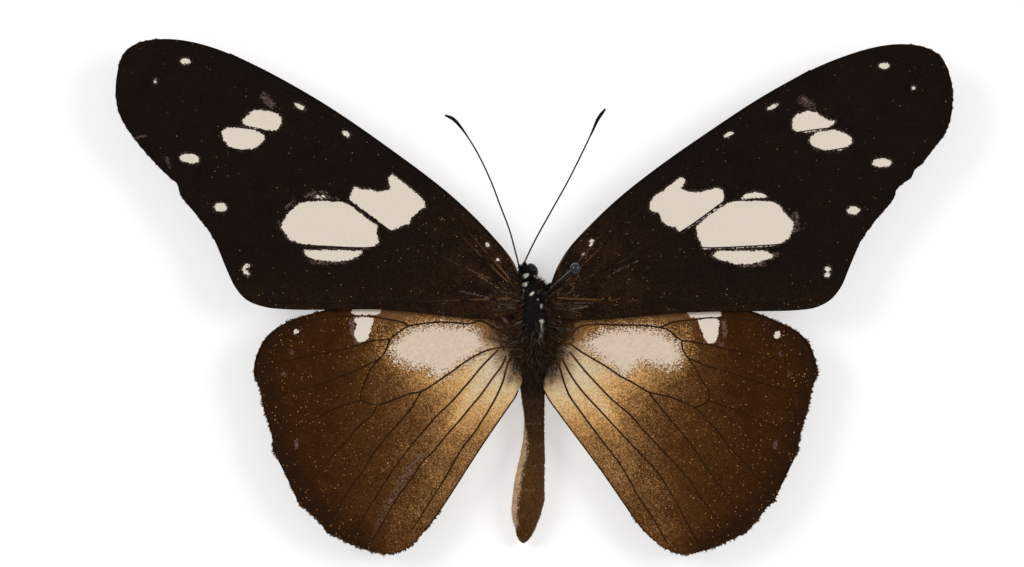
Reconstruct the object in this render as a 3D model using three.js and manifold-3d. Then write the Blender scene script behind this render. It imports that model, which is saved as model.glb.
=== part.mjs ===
// A dried, spread butterfly lying on its belly: slim body, clubbed antennae, folded legs, four wings
// and a leaning pin in the thorax.
// Millimetres: X runs across the wings, Y toward the head, Z up from the surface it lies on.
import * as THREE from "three";
import { mergeVertices } from "three/addons/utils/BufferGeometryUtils.js";
import Module from "manifold-3d";

// Driving dimensions
const CLEARANCE = 0.12; // gap between neighbouring pieces
const WING_THICKNESS = 0.22;
const WING_RISE = 1.3; // how far a wing tip stands above its hinge
const HALF_SPAN = 42;
const FOREWING_HINGE_HEIGHT = 4.0;
const HINDWING_HINGE_HEIGHT = 3.35;
const HINDWING_DROOP = 0.5; // fall of the hindwing's rear edge
const PLEAT_HEIGHT = 0.1; // corrugation along the veins
const PLEAT_PITCH = 9.2; // spacing of the veins where they meet the wing edge
const WING_RINGS = 3; // steps from the body to the wing edge
const WING_STEPS = 2; // rays for each outline point
const ABDOMEN_SEGMENTS = 9;
const SEGMENT_GROOVE = 0.07; // depth of the grooves as a share of the abdomen's radius
const HEAD_CENTRE = [-0.66, 2.3, 2.8];
const HEAD_RADII = [0.85, 0.95, 0.95];
const HEAD_YAW = 0.56; // the head is turned to the insect's left
const EYE_RADII = [0.5, 0.72, 0.8];
const EYE_OFFSET = 0.66;
const EYE_FORWARD = 0.15;
const EYE_UP = 0.06;
const ANTENNA_RADIUS = 0.08;
const CLUB_RADIUS = 0.18;
const CLUB_SHARE = 0.2; // part of an antenna's length that is club
const LEG_ROOT_RADIUS = 0.24;
const LEG_TIP_RADIUS = 0.1;
const PALP_RADIUS = 0.17;
const PALP_OFFSET = 0.25;
const PROBOSCIS_RADIUS = 0.08;
const COIL_RADIUS = 0.62;
const COIL_TURNS = 2.2;
const PIN_RADIUS = 0.25;
const PIN_HEAD_RADIUS = 0.55;
const PIN_FOOT = [0.6, -0.3, 3.8]; // below the skin of the thorax
const PIN_HEAD_CENTRE = [4, 2.88, 12.6];

// Wing outlines seen from above, from body to tip along the leading and the trailing edge, each with
// the hub inside the body from which its veins fan out
const LEFT_FOREWING = {
  side: -1,
  hub: [-0.7, -0.6],
  height: FOREWING_HINGE_HEIGHT,
  droop: 0,
  leading: [
    [-2.1, 3.35], [-4.45, 6.3], [-8.45, 10.2], [-14.45, 14.8], [-20.95, 19.25],
    [-26.45, 22.4], [-30.45, 24.35], [-33.95, 25.48], [-36.95, 25.83], [-39.35, 25.5], [-40.75, 24.7],
    [-41.5, 23.35],
  ],
  trailing: [
    [-1.8, -1.65], [-2.95, -1.9], [-5.45, -2.15], [-8.45, -1.88], [-12.45, -1.43], [-15.95, -1.18],
    [-20.95, -1.24], [-24.45, -1.2], [-26.95, -0.95], [-28.75, -0.25], [-29.85, 0.95], [-30.65, 2.55],
    [-31.55, 4.75], [-32.15, 6.05], [-33.45, 7.85], [-35.05, 9.8], [-35.5, 10.65], [-35.7, 11.35],
    [-36.35, 11.9], [-38.25, 13.8], [-39.65, 15.45], [-40.85, 17.15], [-41.5, 18.45], [-41.8, 19.95],
    [-41.8, 21.55], [-41.5, 23.35],
  ],
};
const RIGHT_FOREWING = {
  side: 1,
  hub: [0.9, -1.55],
  height: FOREWING_HINGE_HEIGHT,
  droop: 0,
  leading: [
    [1.98, 2.05], [2.5, 3.25], [3.55, 4.9], [5.55, 7.1],
    [8.55, 9.95], [12.55, 13.1], [17.55, 16.6], [22.55, 19.88], [27.55, 22.7], [31.55, 24.32],
    [34.55, 25.12], [37.05, 25.31], [39.05, 24.97], [40.55, 24.1], [41.35, 22.65],
  ],
  trailing: [
    [1.85, -1.9], [3.05, -2.15], [5.55, -2.25], [9.55, -2], [14.55, -1.55], [18.55, -1.4], [23.05, -1.37],
    [26.05, -1.29], [28.05, -1.01], [29.55, -0.25], [30.65, 1.1], [31.35, 2.75], [32.15, 4.65],
    [32.65, 5.75], [34.15, 7.8], [35.85, 9.85], [36.15, 10.75], [36.75, 11.35], [37.55, 11.9], [38, 12.75],
    [38.85, 13.55], [39.95, 15], [40.9, 16.2], [41.5, 17.65], [41.75, 19.35], [41.73, 20.95],
    [41.35, 22.65],
  ],
};
const LEFT_HINDWING = {
  side: -1,
  hub: [-0.75, -5],
  height: HINDWING_HINGE_HEIGHT,
  droop: HINDWING_DROOP,
  leading: [
    [-2.15, -2.5], [-2.95, -2.05], [-5.45, -1.25], [-8.45, -0.8], [-12.45, -0.55], [-16.45, -0.65],
    [-19.45, -1], [-22.15, -1.65], [-24.45, -2.4], [-26.45, -3.65], [-27.5, -5.2], [-28, -6.95],
    [-28, -7.95], [-27.55, -8.85], [-27.05, -11.25], [-26.6, -12.55], [-26.25, -13.95], [-26.15, -15.25],
    [-25.55, -16.3], [-24.9, -17.45],
  ],
  trailing: [
    [-1.75, -9.35], [-1.95, -10.05], [-2.45, -10.75], [-5.45, -15.15],
    [-9.45, -21.35], [-10.95, -23.35], [-12.25, -24.75], [-13.45, -25.45], [-14.75, -25.72],
    [-16.25, -25.45], [-17.65, -25.03], [-18.95, -24.5], [-19.75, -24], [-20.65, -23.6], [-21.45, -22.65],
    [-22.45, -21.6], [-23.55, -20.65], [-23.95, -19.85], [-24.35, -18.8], [-24.9, -17.45],
  ],
};
const RIGHT_HINDWING = {
  side: 1,
  hub: [0.85, -5.4],
  height: HINDWING_HINGE_HEIGHT,
  droop: HINDWING_DROOP,
  leading: [
    [2.3, -2.95], [3.75, -2.45], [6.55, -1.45], [10.55, -0.9], [15.55, -0.7], [19.05, -0.9],
    [21.55, -1.4], [24.05, -2.35], [26.25, -3.45], [27.35, -4.55], [27.95, -5.95], [28.28, -7.65],
    [27.85, -8.75], [27.25, -11.55], [26.75, -12.95], [26.45, -14.35], [26.35, -15.45], [25.6, -16.55],
    [25.15, -17.75],
  ],
  trailing: [
    [1.2, -9.2], [1.5, -10.15], [2.55, -11.75], [6.55, -17.15],
    [10.55, -22.85], [11.75, -24.15], [13.05, -25.1], [14.35, -25.65], [15.55, -25.71], [17.05, -25.35],
    [18.55, -24.8], [19.85, -24.15], [21.15, -23.55], [21.85, -22.75], [22.65, -21.9], [23.25, -21],
    [24, -20.35], [24.35, -19.45], [24.65, -18.55], [25.15, -17.75],
  ],
};

// Body stations from front to rear: y, centre x, half width, centre z, half height
const THORAX = [
  [1.6, -0.45, 0.75, 2.7, 0.9], [1.05, -0.35, 1.2, 2.6, 1.45], [0.2, -0.15, 1.45, 2.5, 2.1],
  [-0.9, 0, 1.75, 2.35, 2.6], [-2.3, 0.05, 2, 2.3, 2.8], [-4, 0.05, 2.05, 2.28, 2.8],
  [-5.5, 0, 1.9, 2.25, 2.6], [-6.5, -0.03, 1.6, 2.3, 2.1], [-7, -0.05, 1.1, 2.4, 1.5],
];
const ABDOMEN = [
  [-6.4, -0.05, 1.3, 2.7, 1.5], [-7.5, -0.07, 1.42, 2.6, 1.55], [-9.4, -0.15, 1.2, 2.4, 1.45],
  [-12.2, 0, 0.98, 2.1, 1.4], [-14.2, -0.05, 1.05, 1.9, 1.45], [-16.3, -0.22, 1.28, 1.8, 1.6],
  [-18.3, -0.48, 1.48, 1.75, 1.7], [-20.3, -0.6, 1.62, 1.65, 1.65], [-21.8, -0.82, 1.46, 1.5, 1.4],
  [-23, -0.9, 1.04, 1.35, 1], [-24.1, -1.03, 0.6, 1.25, 0.6], [-24.5, -1.05, 0.35, 1.2, 0.35],
];

// Centre lines of the thin pieces
const LEFT_ANTENNA = [
  [-1.5, 2.95, 3.2], [-1.65, 3.55, 3.6], [-1.95, 4.75, 3.9], [-2.5, 6.75, 4.2], [-3.45, 9.25, 4.5],
  [-4.45, 11.85, 4.7], [-5.9, 14.8, 4.9], [-7.35, 17, 5], [-8.15, 17.85, 5], [-8.95, 18.22, 5],
];
const RIGHT_ANTENNA = [
  [-1.1, 3.25, 3.2], [-0.85, 3.85, 3.6], [0.05, 5.7, 4], [1.65, 8.6, 4.4], [3.3, 11.55, 4.7],
  [4.95, 14.85, 4.9], [5.85, 16.75, 5], [6.35, 17.85, 5], [7.08, 18.85, 5],
];
const LEGS = {
  foreleg: [[0.7, -0.1, 0.9], [1.25, 0.9, 1.1], [1.75, 1.3, 1.1], [2.05, 0.2, 0.55], [2.6, -1.1, 0.1]],
  midleg: [[0.9, -2.6, 0.7], [1.9, -2.2, 1.1], [2.5, -2.1, 1.15], [2.9, -3.3, 0.6], [3.3, -4.6, 0.1]],
  hindleg: [[0.8, -5, 0.8], [1.7, -5.4, 1.2], [2.3, -5.7, 1.2], [2.55, -7.1, 0.55], [2.85, -8.7, 0.1]],
};

const wasm = await Module();
wasm.setup();

const vector = (point) => new THREE.Vector3(point[0], point[1], point[2] ?? 0);

// Closed geometry as a solid, from positions alone.
function solidOf(geometry) {
  const bare = new THREE.BufferGeometry();
  bare.setAttribute("position", geometry.getAttribute("position"));
  bare.setIndex(geometry.index);
  const merged = mergeVertices(bare, 1e-4);
  const mesh = new wasm.Mesh({
    numProp: 3,
    vertProperties: merged.getAttribute("position").array,
    triVerts: new Uint32Array(merged.index.array),
  });
  return new wasm.Manifold(mesh);
}

// A solid back as geometry that can be drawn.
function geometryOf(solid) {
  const mesh = solid.getMesh();
  const geometry = new THREE.BufferGeometry();
  geometry.setAttribute("position", new THREE.BufferAttribute(mesh.vertProperties, 3));
  geometry.setIndex(new THREE.BufferAttribute(mesh.triVerts, 1));
  geometry.computeVertexNormals();
  return geometry;
}

// A skin over rings of equal point count. Round ends are closed by fans and flat ones by strips.
function loft(rings, flat = false) {
  const sides = rings[0].length;
  const points = rings.flat();
  const faces = [];
  for (let ring = 0; ring + 1 < rings.length; ring++) {
    for (let side = 0; side < sides; side++) {
      const a = ring * sides + side;
      const b = ring * sides + ((side + 1) % sides);
      faces.push(a, b, b + sides, a, b + sides, a + sides);
    }
  }
  const fan = (first, flip) => {
    const hub = points.push(new THREE.Vector3()) - 1;
    for (let side = 0; side < sides; side++) {
      const a = first + side;
      const b = first + ((side + 1) % sides);
      points[hub].addScaledVector(points[a], 1 / sides);
      faces.push(hub, flip ? b : a, flip ? a : b);
    }
  };
  const strip = (first, flip) => {
    for (let side = 0; side + 1 < sides / 2; side++) {
      const a = first + side;
      const b = first + sides - 1 - side;
      const [c, d] = flip ? [b, a + 1] : [a + 1, b];
      faces.push(a, c, d, a + 1, flip ? b : b - 1, flip ? b - 1 : b);
    }
  };
  const last = sides * (rings.length - 1);
  if (flat) {
    strip(0, true);
    strip(last, false);
  } else {
    fan(0, true);
    fan(last, false);
  }
  return solidOf(new THREE.BufferGeometry().setFromPoints(points).setIndex(faces));
}

// A round tube along a smooth path, with a radius that follows the share of its length.
function tube(path, radiusAt, ringCount, sides = 6) {
  const curve = new THREE.CatmullRomCurve3(path.map(vector), false, "centripetal");
  const frames = curve.computeFrenetFrames(ringCount, false);
  const rings = frames.normals.map((normal, i) => {
    const centre = curve.getPointAt(i / ringCount);
    return Array.from({ length: sides }, (_, side) => {
      const angle = (2 * Math.PI * side) / sides;
      return centre
        .clone()
        .addScaledVector(normal, radiusAt(i / ringCount) * Math.cos(angle))
        .addScaledVector(frames.binormals[i], radiusAt(i / ringCount) * Math.sin(angle));
    });
  });
  return loft(rings);
}

// An oval body through stations, never lower than the surface it lies on.
function body(stations, ringCount, sides, grow = 0, segments = 0) {
  const middle = new THREE.CatmullRomCurve3(stations.map((s) => new THREE.Vector3(s[1], s[0], s[3])));
  const half = new THREE.CatmullRomCurve3(stations.map((s) => new THREE.Vector3(s[2], s[4], 0)));
  const rings = Array.from({ length: ringCount + 1 }, (_, i) => {
    const t = i / ringCount;
    const centre = middle.getPoint(t);
    const size = half.getPoint(t);
    const groove = segments ? 1 - SEGMENT_GROOVE * (i % 2) : 1;
    return Array.from({ length: sides }, (_, side) => {
      const angle = (2 * Math.PI * (side + 0.5)) / sides;
      const x = centre.x + (size.x * groove + grow) * Math.cos(angle);
      const z = centre.z + (size.y * groove + grow) * Math.sin(angle);
      return new THREE.Vector3(x, centre.y, grow ? z : Math.max(0, z));
    });
  });
  return loft(rings);
}

// An egg turned about the vertical by the head's yaw and placed in the head's own axes.
function egg(radii, right, forward, up, grow = 0) {
  const geometry = new THREE.SphereGeometry(1, 12, 8);
  geometry.rotateX(Math.PI / 2);
  geometry.scale(radii[0] + grow, radii[1] + grow, radii[2] + grow);
  geometry.translate(right, forward, up);
  geometry.rotateZ(HEAD_YAW);
  geometry.translate(...HEAD_CENTRE);
  return solidOf(geometry);
}

// A point given to the right, forward and above the head's centre.
function fromHead(right, forward, up) {
  const turned = new THREE.Vector3(right, forward, up).applyAxisAngle(new THREE.Vector3(0, 0, 1), HEAD_YAW);
  return turned.add(vector(HEAD_CENTRE)).toArray();
}

// Whether a point is clear of an oval body, which ends at its first and its last station.
function clearOf(stations, point) {
  const next = stations.findIndex((station) => station[0] < point.y);
  if (next < 1) return true;
  const [front, rear] = [stations[next - 1], stations[next]];
  const t = (front[0] - point.y) / (front[0] - rear[0]);
  const [, x, width, z, height] = front.map((value, i) => THREE.MathUtils.lerp(value, rear[i], t));
  return Math.hypot((point.x - x) / (width + CLEARANCE), (point.z - z) / (height + CLEARANCE)) > 1;
}

// The place on a line from inside the body to the wing edge where the line leaves the body.
function leaves(from, to, onWing) {
  let inside = 0;
  let outside = 1;
  for (let i = 0; i < 30; i++) {
    const share = (inside + outside) / 2;
    const point = onWing(from.clone().lerp(to, share));
    if (clearOf(THORAX, point) && clearOf(ABDOMEN, point)) outside = share;
    else inside = share;
  }
  return from.clone().lerp(to, outside);
}

// A thin pleated sheet whose rays run from the body to the outline.
function wing(plan) {
  const outline = [...plan.leading, ...plan.trailing.slice(0, -1).reverse()];
  const curve = new THREE.CatmullRomCurve3(outline.map(vector), false, "centripetal");
  const rays = (outline.length - 1) * WING_STEPS;
  const rim = curve.getPoints(rays);
  let run = 0;
  const along = rim.map((point, i) => (run += i ? point.distanceTo(rim[i - 1]) : 0));
  const onWing = (point) => {
    const rise = WING_RISE * Math.sin((Math.PI / 2) * Math.min(1, Math.abs(point.x) / HALF_SPAN));
    const fall = plan.droop * Math.max(0, (-4 - point.y) / 22) ** 2;
    return point.setZ(plan.height + rise - fall);
  };
  const foot = rim.map((end) => leaves(vector(plan.hub), end, onWing));
  const rings = Array.from({ length: WING_RINGS + 1 }, (_, ring) => {
    const share = ring / WING_RINGS;
    const top = [];
    const bottom = [];
    rim.forEach((end, ray) => {
      const pleat = Math.cos((2 * Math.PI * along[ray]) / PLEAT_PITCH) * Math.sin(Math.PI * share);
      const point = onWing(foot[ray].clone().lerp(end, share));
      point.z += PLEAT_HEIGHT * pleat;
      top.push(point.clone().setZ(point.z + WING_THICKNESS / 2));
      bottom.unshift(point.clone().setZ(point.z - WING_THICKNESS / 2));
    });
    const loop = [...top, ...bottom];
    return plan.side < 0 ? loop.reverse() : loop;
  });
  return loft(rings, true);
}

// A straight pin with a round head, turned about its own axis and leant from its foot to its head.
function pin() {
  const foot = vector(PIN_FOOT);
  const lean = vector(PIN_HEAD_CENTRE).sub(foot);
  const length = lean.length();
  const start = Math.PI - Math.asin(PIN_RADIUS / PIN_HEAD_RADIUS);
  const ball = Array.from({ length: 7 }, (_, i) => {
    const angle = start * (1 - i / 6);
    return new THREE.Vector2(PIN_HEAD_RADIUS * Math.sin(angle), length + PIN_HEAD_RADIUS * Math.cos(angle));
  });
  ball[6].x = 0;
  const profile = [new THREE.Vector2(0, 0), new THREE.Vector2(PIN_RADIUS, 0), ...ball];
  const geometry = new THREE.LatheGeometry(profile, 12);
  const turn = new THREE.Quaternion().setFromUnitVectors(new THREE.Vector3(0, 1, 0), lean.normalize());
  geometry.applyQuaternion(turn);
  geometry.translate(...PIN_FOOT);
  return solidOf(geometry);
}

// A folded leg, on the right for side 1 and on the left for side -1.
function leg(path, side) {
  const placed = path.map(([x, y, z]) => [side * x, y, z]);
  return tube(placed, (t) => THREE.MathUtils.lerp(LEG_ROOT_RADIUS, LEG_TIP_RADIUS, t), 14);
}

// An antenna: thick at its root, even along the stem and swollen into a club.
function antenna(path) {
  const radius = (t) => {
    const club = THREE.MathUtils.smoothstep(t, 1 - CLUB_SHARE, 1 - CLUB_SHARE / 3);
    const tip = THREE.MathUtils.smoothstep(t, 0.96, 1.02);
    const root = 1 - THREE.MathUtils.smoothstep(t, 0, 0.03);
    return THREE.MathUtils.lerp(ANTENNA_RADIUS, CLUB_RADIUS, club) * (1 - 0.4 * tip) + 0.05 * root;
  };
  return tube(path, radius, 20);
}

const root = new THREE.Group();

function add(name, solid, colour, roughness = 0.7) {
  const mesh = new THREE.Mesh(
    geometryOf(solid),
    new THREE.MeshStandardMaterial({ color: colour, roughness }),
  );
  mesh.name = name;
  root.add(mesh);
}

const cut = (solid, ...tools) => tools.reduce((rest, tool) => rest.subtract(tool), solid);

const thorax = body(THORAX, 12, 16);
const thoraxRoom = body(THORAX, 12, 16, CLEARANCE);
const abdomenRoom = body(ABDOMEN, 2 * ABDOMEN_SEGMENTS, 14, CLEARANCE, ABDOMEN_SEGMENTS);
const headRoom = egg(HEAD_RADII, 0, 0, 0, CLEARANCE);
const eyeRooms = [-1, 1].map((side) => egg(EYE_RADII, side * EYE_OFFSET, EYE_FORWARD, EYE_UP, CLEARANCE));

add("thorax", thorax, 0x1a1512);
add("abdomen", cut(body(ABDOMEN, 2 * ABDOMEN_SEGMENTS, 14, 0, ABDOMEN_SEGMENTS), thoraxRoom), 0x3a2a1a);
add("head", cut(egg(HEAD_RADII, 0, 0, 0), thoraxRoom), 0x1a1512);
for (const [prefix, side] of [["left", -1], ["right", 1]]) {
  const eye = egg(EYE_RADII, side * EYE_OFFSET, EYE_FORWARD, EYE_UP);
  add(prefix + "_eye", cut(eye, headRoom, thoraxRoom), 0x0c0a0a, 0.25);
  const palp = [[0.5, -0.85], [0.98, -0.55], [1.12, 0.1]].map(([forward, up]) =>
    fromHead(PALP_OFFSET * side, forward, up),
  );
  add(prefix + "_palp", cut(tube(palp, () => PALP_RADIUS, 6), headRoom), 0x2a211a);
  for (const [pair, path] of Object.entries(LEGS)) {
    add(prefix + "_" + pair, cut(leg(path, side), thoraxRoom, abdomenRoom), 0x2a2018);
  }
}
const coil = Array.from({ length: 25 }, (_, i) => {
  const t = i / 24;
  const angle = 2 * Math.PI * COIL_TURNS * t;
  const reach = COIL_RADIUS * (1 - 0.75 * t);
  return fromHead(0, 0.25 + reach * Math.sin(angle), -1.65 + reach * Math.cos(angle));
});
add("proboscis", cut(tube(coil, () => PROBOSCIS_RADIUS, 36, 5), headRoom, thoraxRoom), 0x3a2a1a);
add("left_antenna", cut(antenna(LEFT_ANTENNA), headRoom, ...eyeRooms), 0x1c1613);
add("right_antenna", cut(antenna(RIGHT_ANTENNA), headRoom, ...eyeRooms), 0x1c1613);
add("pin", cut(pin(), thoraxRoom), 0x2b2a2c, 0.3);
add("left_forewing", wing(LEFT_FOREWING), 0x241b15);
add("right_forewing", wing(RIGHT_FOREWING), 0x241b15);
add("left_hindwing", wing(LEFT_HINDWING), 0x6b4722);
add("right_hindwing", wing(RIGHT_HINDWING), 0x6b4722);

// The origin is the middle of the bottom of the whole box.
const box = new THREE.Box3().setFromObject(root);
const middle = box.getCenter(new THREE.Vector3());
root.children.forEach((mesh) => mesh.position.set(-middle.x, -middle.y, -box.min.z));

export default root;
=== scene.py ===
"""Looks of a dried, spread butterfly: scaled wings, veins, fringe, fur, eyes, feelers, legs and pin."""

import bpy
import numpy as np
from bpy.props import FloatProperty, FloatVectorProperty, IntProperty, PointerProperty
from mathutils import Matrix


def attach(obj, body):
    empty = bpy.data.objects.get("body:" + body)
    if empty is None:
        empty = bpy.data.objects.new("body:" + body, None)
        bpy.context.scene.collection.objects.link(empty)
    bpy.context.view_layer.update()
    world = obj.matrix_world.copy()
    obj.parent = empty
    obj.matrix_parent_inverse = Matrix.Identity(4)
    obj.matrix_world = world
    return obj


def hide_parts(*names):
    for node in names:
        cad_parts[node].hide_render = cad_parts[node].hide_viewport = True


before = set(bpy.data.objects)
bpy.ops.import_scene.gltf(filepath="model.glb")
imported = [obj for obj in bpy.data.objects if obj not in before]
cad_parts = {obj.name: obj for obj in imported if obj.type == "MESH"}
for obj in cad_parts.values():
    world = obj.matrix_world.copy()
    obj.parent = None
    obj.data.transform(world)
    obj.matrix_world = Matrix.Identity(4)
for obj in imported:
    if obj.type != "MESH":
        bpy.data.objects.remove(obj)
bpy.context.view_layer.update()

bl_info = {
    "name": "Spread Butterfly",
    "version": (1, 0, 0),
    "blender": (4, 5, 0),
    "location": "View3D > Sidebar > Specimen",
    "description": "Dresses the solids of a spread butterfly with scales, veins, fur and a pin",
    "category": "Object",
}

MM = 0.001
DRAWING_ZERO = np.array([0.0296, -0.0505, 0.0])  # the drawing's zero in the part's frame, mm
SHEET_ZERO = np.array([534.5, 297.5])  # the drawing's zero on the marking sheet
SHEET_SCALE = 10.0  # sheet units for each millimetre, Y running down
SEED = 7
FLOOR_GAP = 0.02  # mm between the floor and the lowest hairs and skin

# Wing form in mm, as the solids have it
WING_RISE = 1.3
HALF_SPAN = 42.0
FOREWING_HEIGHT = 4.0
HINDWING_HEIGHT = 3.35
HINDWING_DROOP = 0.5
DROOP_START = -4.0
DROOP_LENGTH = 22.0
VEIN_RIDGE = 0.05
VEIN_RIDGE_WIDTH = 0.4
VEIN_LIFT = 0.03
INNER_EDGE_END = 7  # points of the trailing edge from the body to the end of the dark inner edge
CLUMP_STEP = 7  # fringe scales from one clump to the next
FRINGE_STEPS = 1400  # fringe scales along a whole edge
FRINGE_START = {"forewing": (0.9, 0.62), "hindwing": (0.5, 0.42)}  # shares of the two edges
FRINGE_SHARE = {"forewing": 0.5, "hindwing": 1.0}  # shares of the fringe's full length
FRINGE_RADIUS = 0.05

# Edges of the wings in mm, from the body outwards; the leading and the trailing edge end at one point
FOREWING_EDGES = {
    "left": (
        [(-1.3, 1.0), (-2.1, 3.35), (-4.45, 6.3), (-8.45, 10.2), (-14.45, 14.8), (-20.95, 19.25),
         (-26.45, 22.4), (-30.45, 24.35), (-33.95, 25.48), (-36.95, 25.83), (-39.35, 25.5),
         (-40.75, 24.7), (-41.5, 23.35)],
        [(-1.65, -1.5), (-2.95, -1.9), (-5.45, -2.15), (-8.45, -1.88), (-12.45, -1.43), (-15.95, -1.18),
         (-20.95, -1.24), (-24.45, -1.2), (-26.95, -0.95), (-28.75, -0.25), (-29.85, 0.95),
         (-30.65, 2.55), (-31.55, 4.75), (-32.15, 6.05), (-33.45, 7.85), (-35.05, 9.8), (-35.5, 10.65),
         (-35.7, 11.35), (-36.35, 11.9), (-38.25, 13.8), (-39.65, 15.45), (-40.85, 17.15),
         (-41.5, 18.45), (-41.8, 19.95), (-41.8, 21.55), (-41.5, 23.35)],
    ),
    "right": (
        [(1.4, 0.0), (1.98, 2.05), (2.5, 3.25), (3.55, 4.9), (5.55, 7.1), (8.55, 9.95), (12.55, 13.1),
         (17.55, 16.6), (22.55, 19.88), (27.55, 22.7), (31.55, 24.32), (34.55, 25.12), (37.05, 25.31),
         (39.05, 24.97), (40.55, 24.1), (41.35, 22.65)],
        [(1.7, -1.85), (3.05, -2.15), (5.55, -2.25), (9.55, -2), (14.55, -1.55), (18.55, -1.4),
         (23.05, -1.37), (26.05, -1.29), (28.05, -1.01), (29.55, -0.25), (30.65, 1.1), (31.35, 2.75),
         (32.15, 4.65), (32.65, 5.75), (34.15, 7.8), (35.85, 9.85), (36.15, 10.75), (36.75, 11.35),
         (37.55, 11.9), (38, 12.75), (38.85, 13.55), (39.95, 15), (40.9, 16.2), (41.5, 17.65),
         (41.75, 19.35), (41.73, 20.95), (41.35, 22.65)],
    ),
}
HINDWING_EDGES = {
    "left": (
        [(-1.5, -2.0), (-2.95, -1.6), (-5.45, -1.15), (-8.45, -0.8), (-12.45, -0.55), (-16.45, -0.65),
         (-19.45, -1), (-22.15, -1.65), (-24.45, -2.4), (-26.45, -3.65), (-27.5, -5.2), (-28, -6.95),
         (-28, -7.95), (-27.55, -8.85), (-27.05, -11.25), (-26.6, -12.55), (-26.25, -13.95),
         (-26.15, -15.25), (-25.55, -16.3), (-24.9, -17.45)],
        [(-1.2, -8.5), (-1.62, -9.3), (-1.95, -10.05), (-2.45, -10.75), (-5.45, -15.15),
         (-9.45, -21.35), (-10.95, -23.35), (-12.25, -24.75), (-13.45, -25.45), (-14.75, -25.72),
         (-16.25, -25.45), (-17.65, -25.03), (-18.95, -24.5), (-19.75, -24), (-20.65, -23.6),
         (-21.45, -22.65), (-22.45, -21.6), (-23.55, -20.65), (-23.95, -19.85), (-24.35, -18.8),
         (-24.9, -17.45)],
    ),
    "right": (
        [(1.6, -2.0), (3.55, -1.8), (6.55, -1.3), (10.55, -0.9), (15.55, -0.7), (19.05, -0.9),
         (21.55, -1.4), (24.05, -2.35), (26.25, -3.45), (27.35, -4.55), (27.95, -5.95), (28.28, -7.65),
         (27.85, -8.75), (27.25, -11.55), (26.75, -12.95), (26.45, -14.35), (26.35, -15.45),
         (25.6, -16.55), (25.15, -17.75)],
        [(0.9, -8.6), (0.95, -9.3), (1.4, -10.15), (2.55, -11.75), (6.55, -17.15), (10.55, -22.85),
         (11.75, -24.15), (13.05, -25.1), (14.35, -25.65), (15.55, -25.71), (17.05, -25.35),
         (18.55, -24.8), (19.85, -24.15), (21.15, -23.55), (21.85, -22.75), (22.65, -21.9),
         (23.25, -21), (24, -20.35), (24.35, -19.45), (24.65, -18.55), (25.15, -17.75)],
    ),
}

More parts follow.
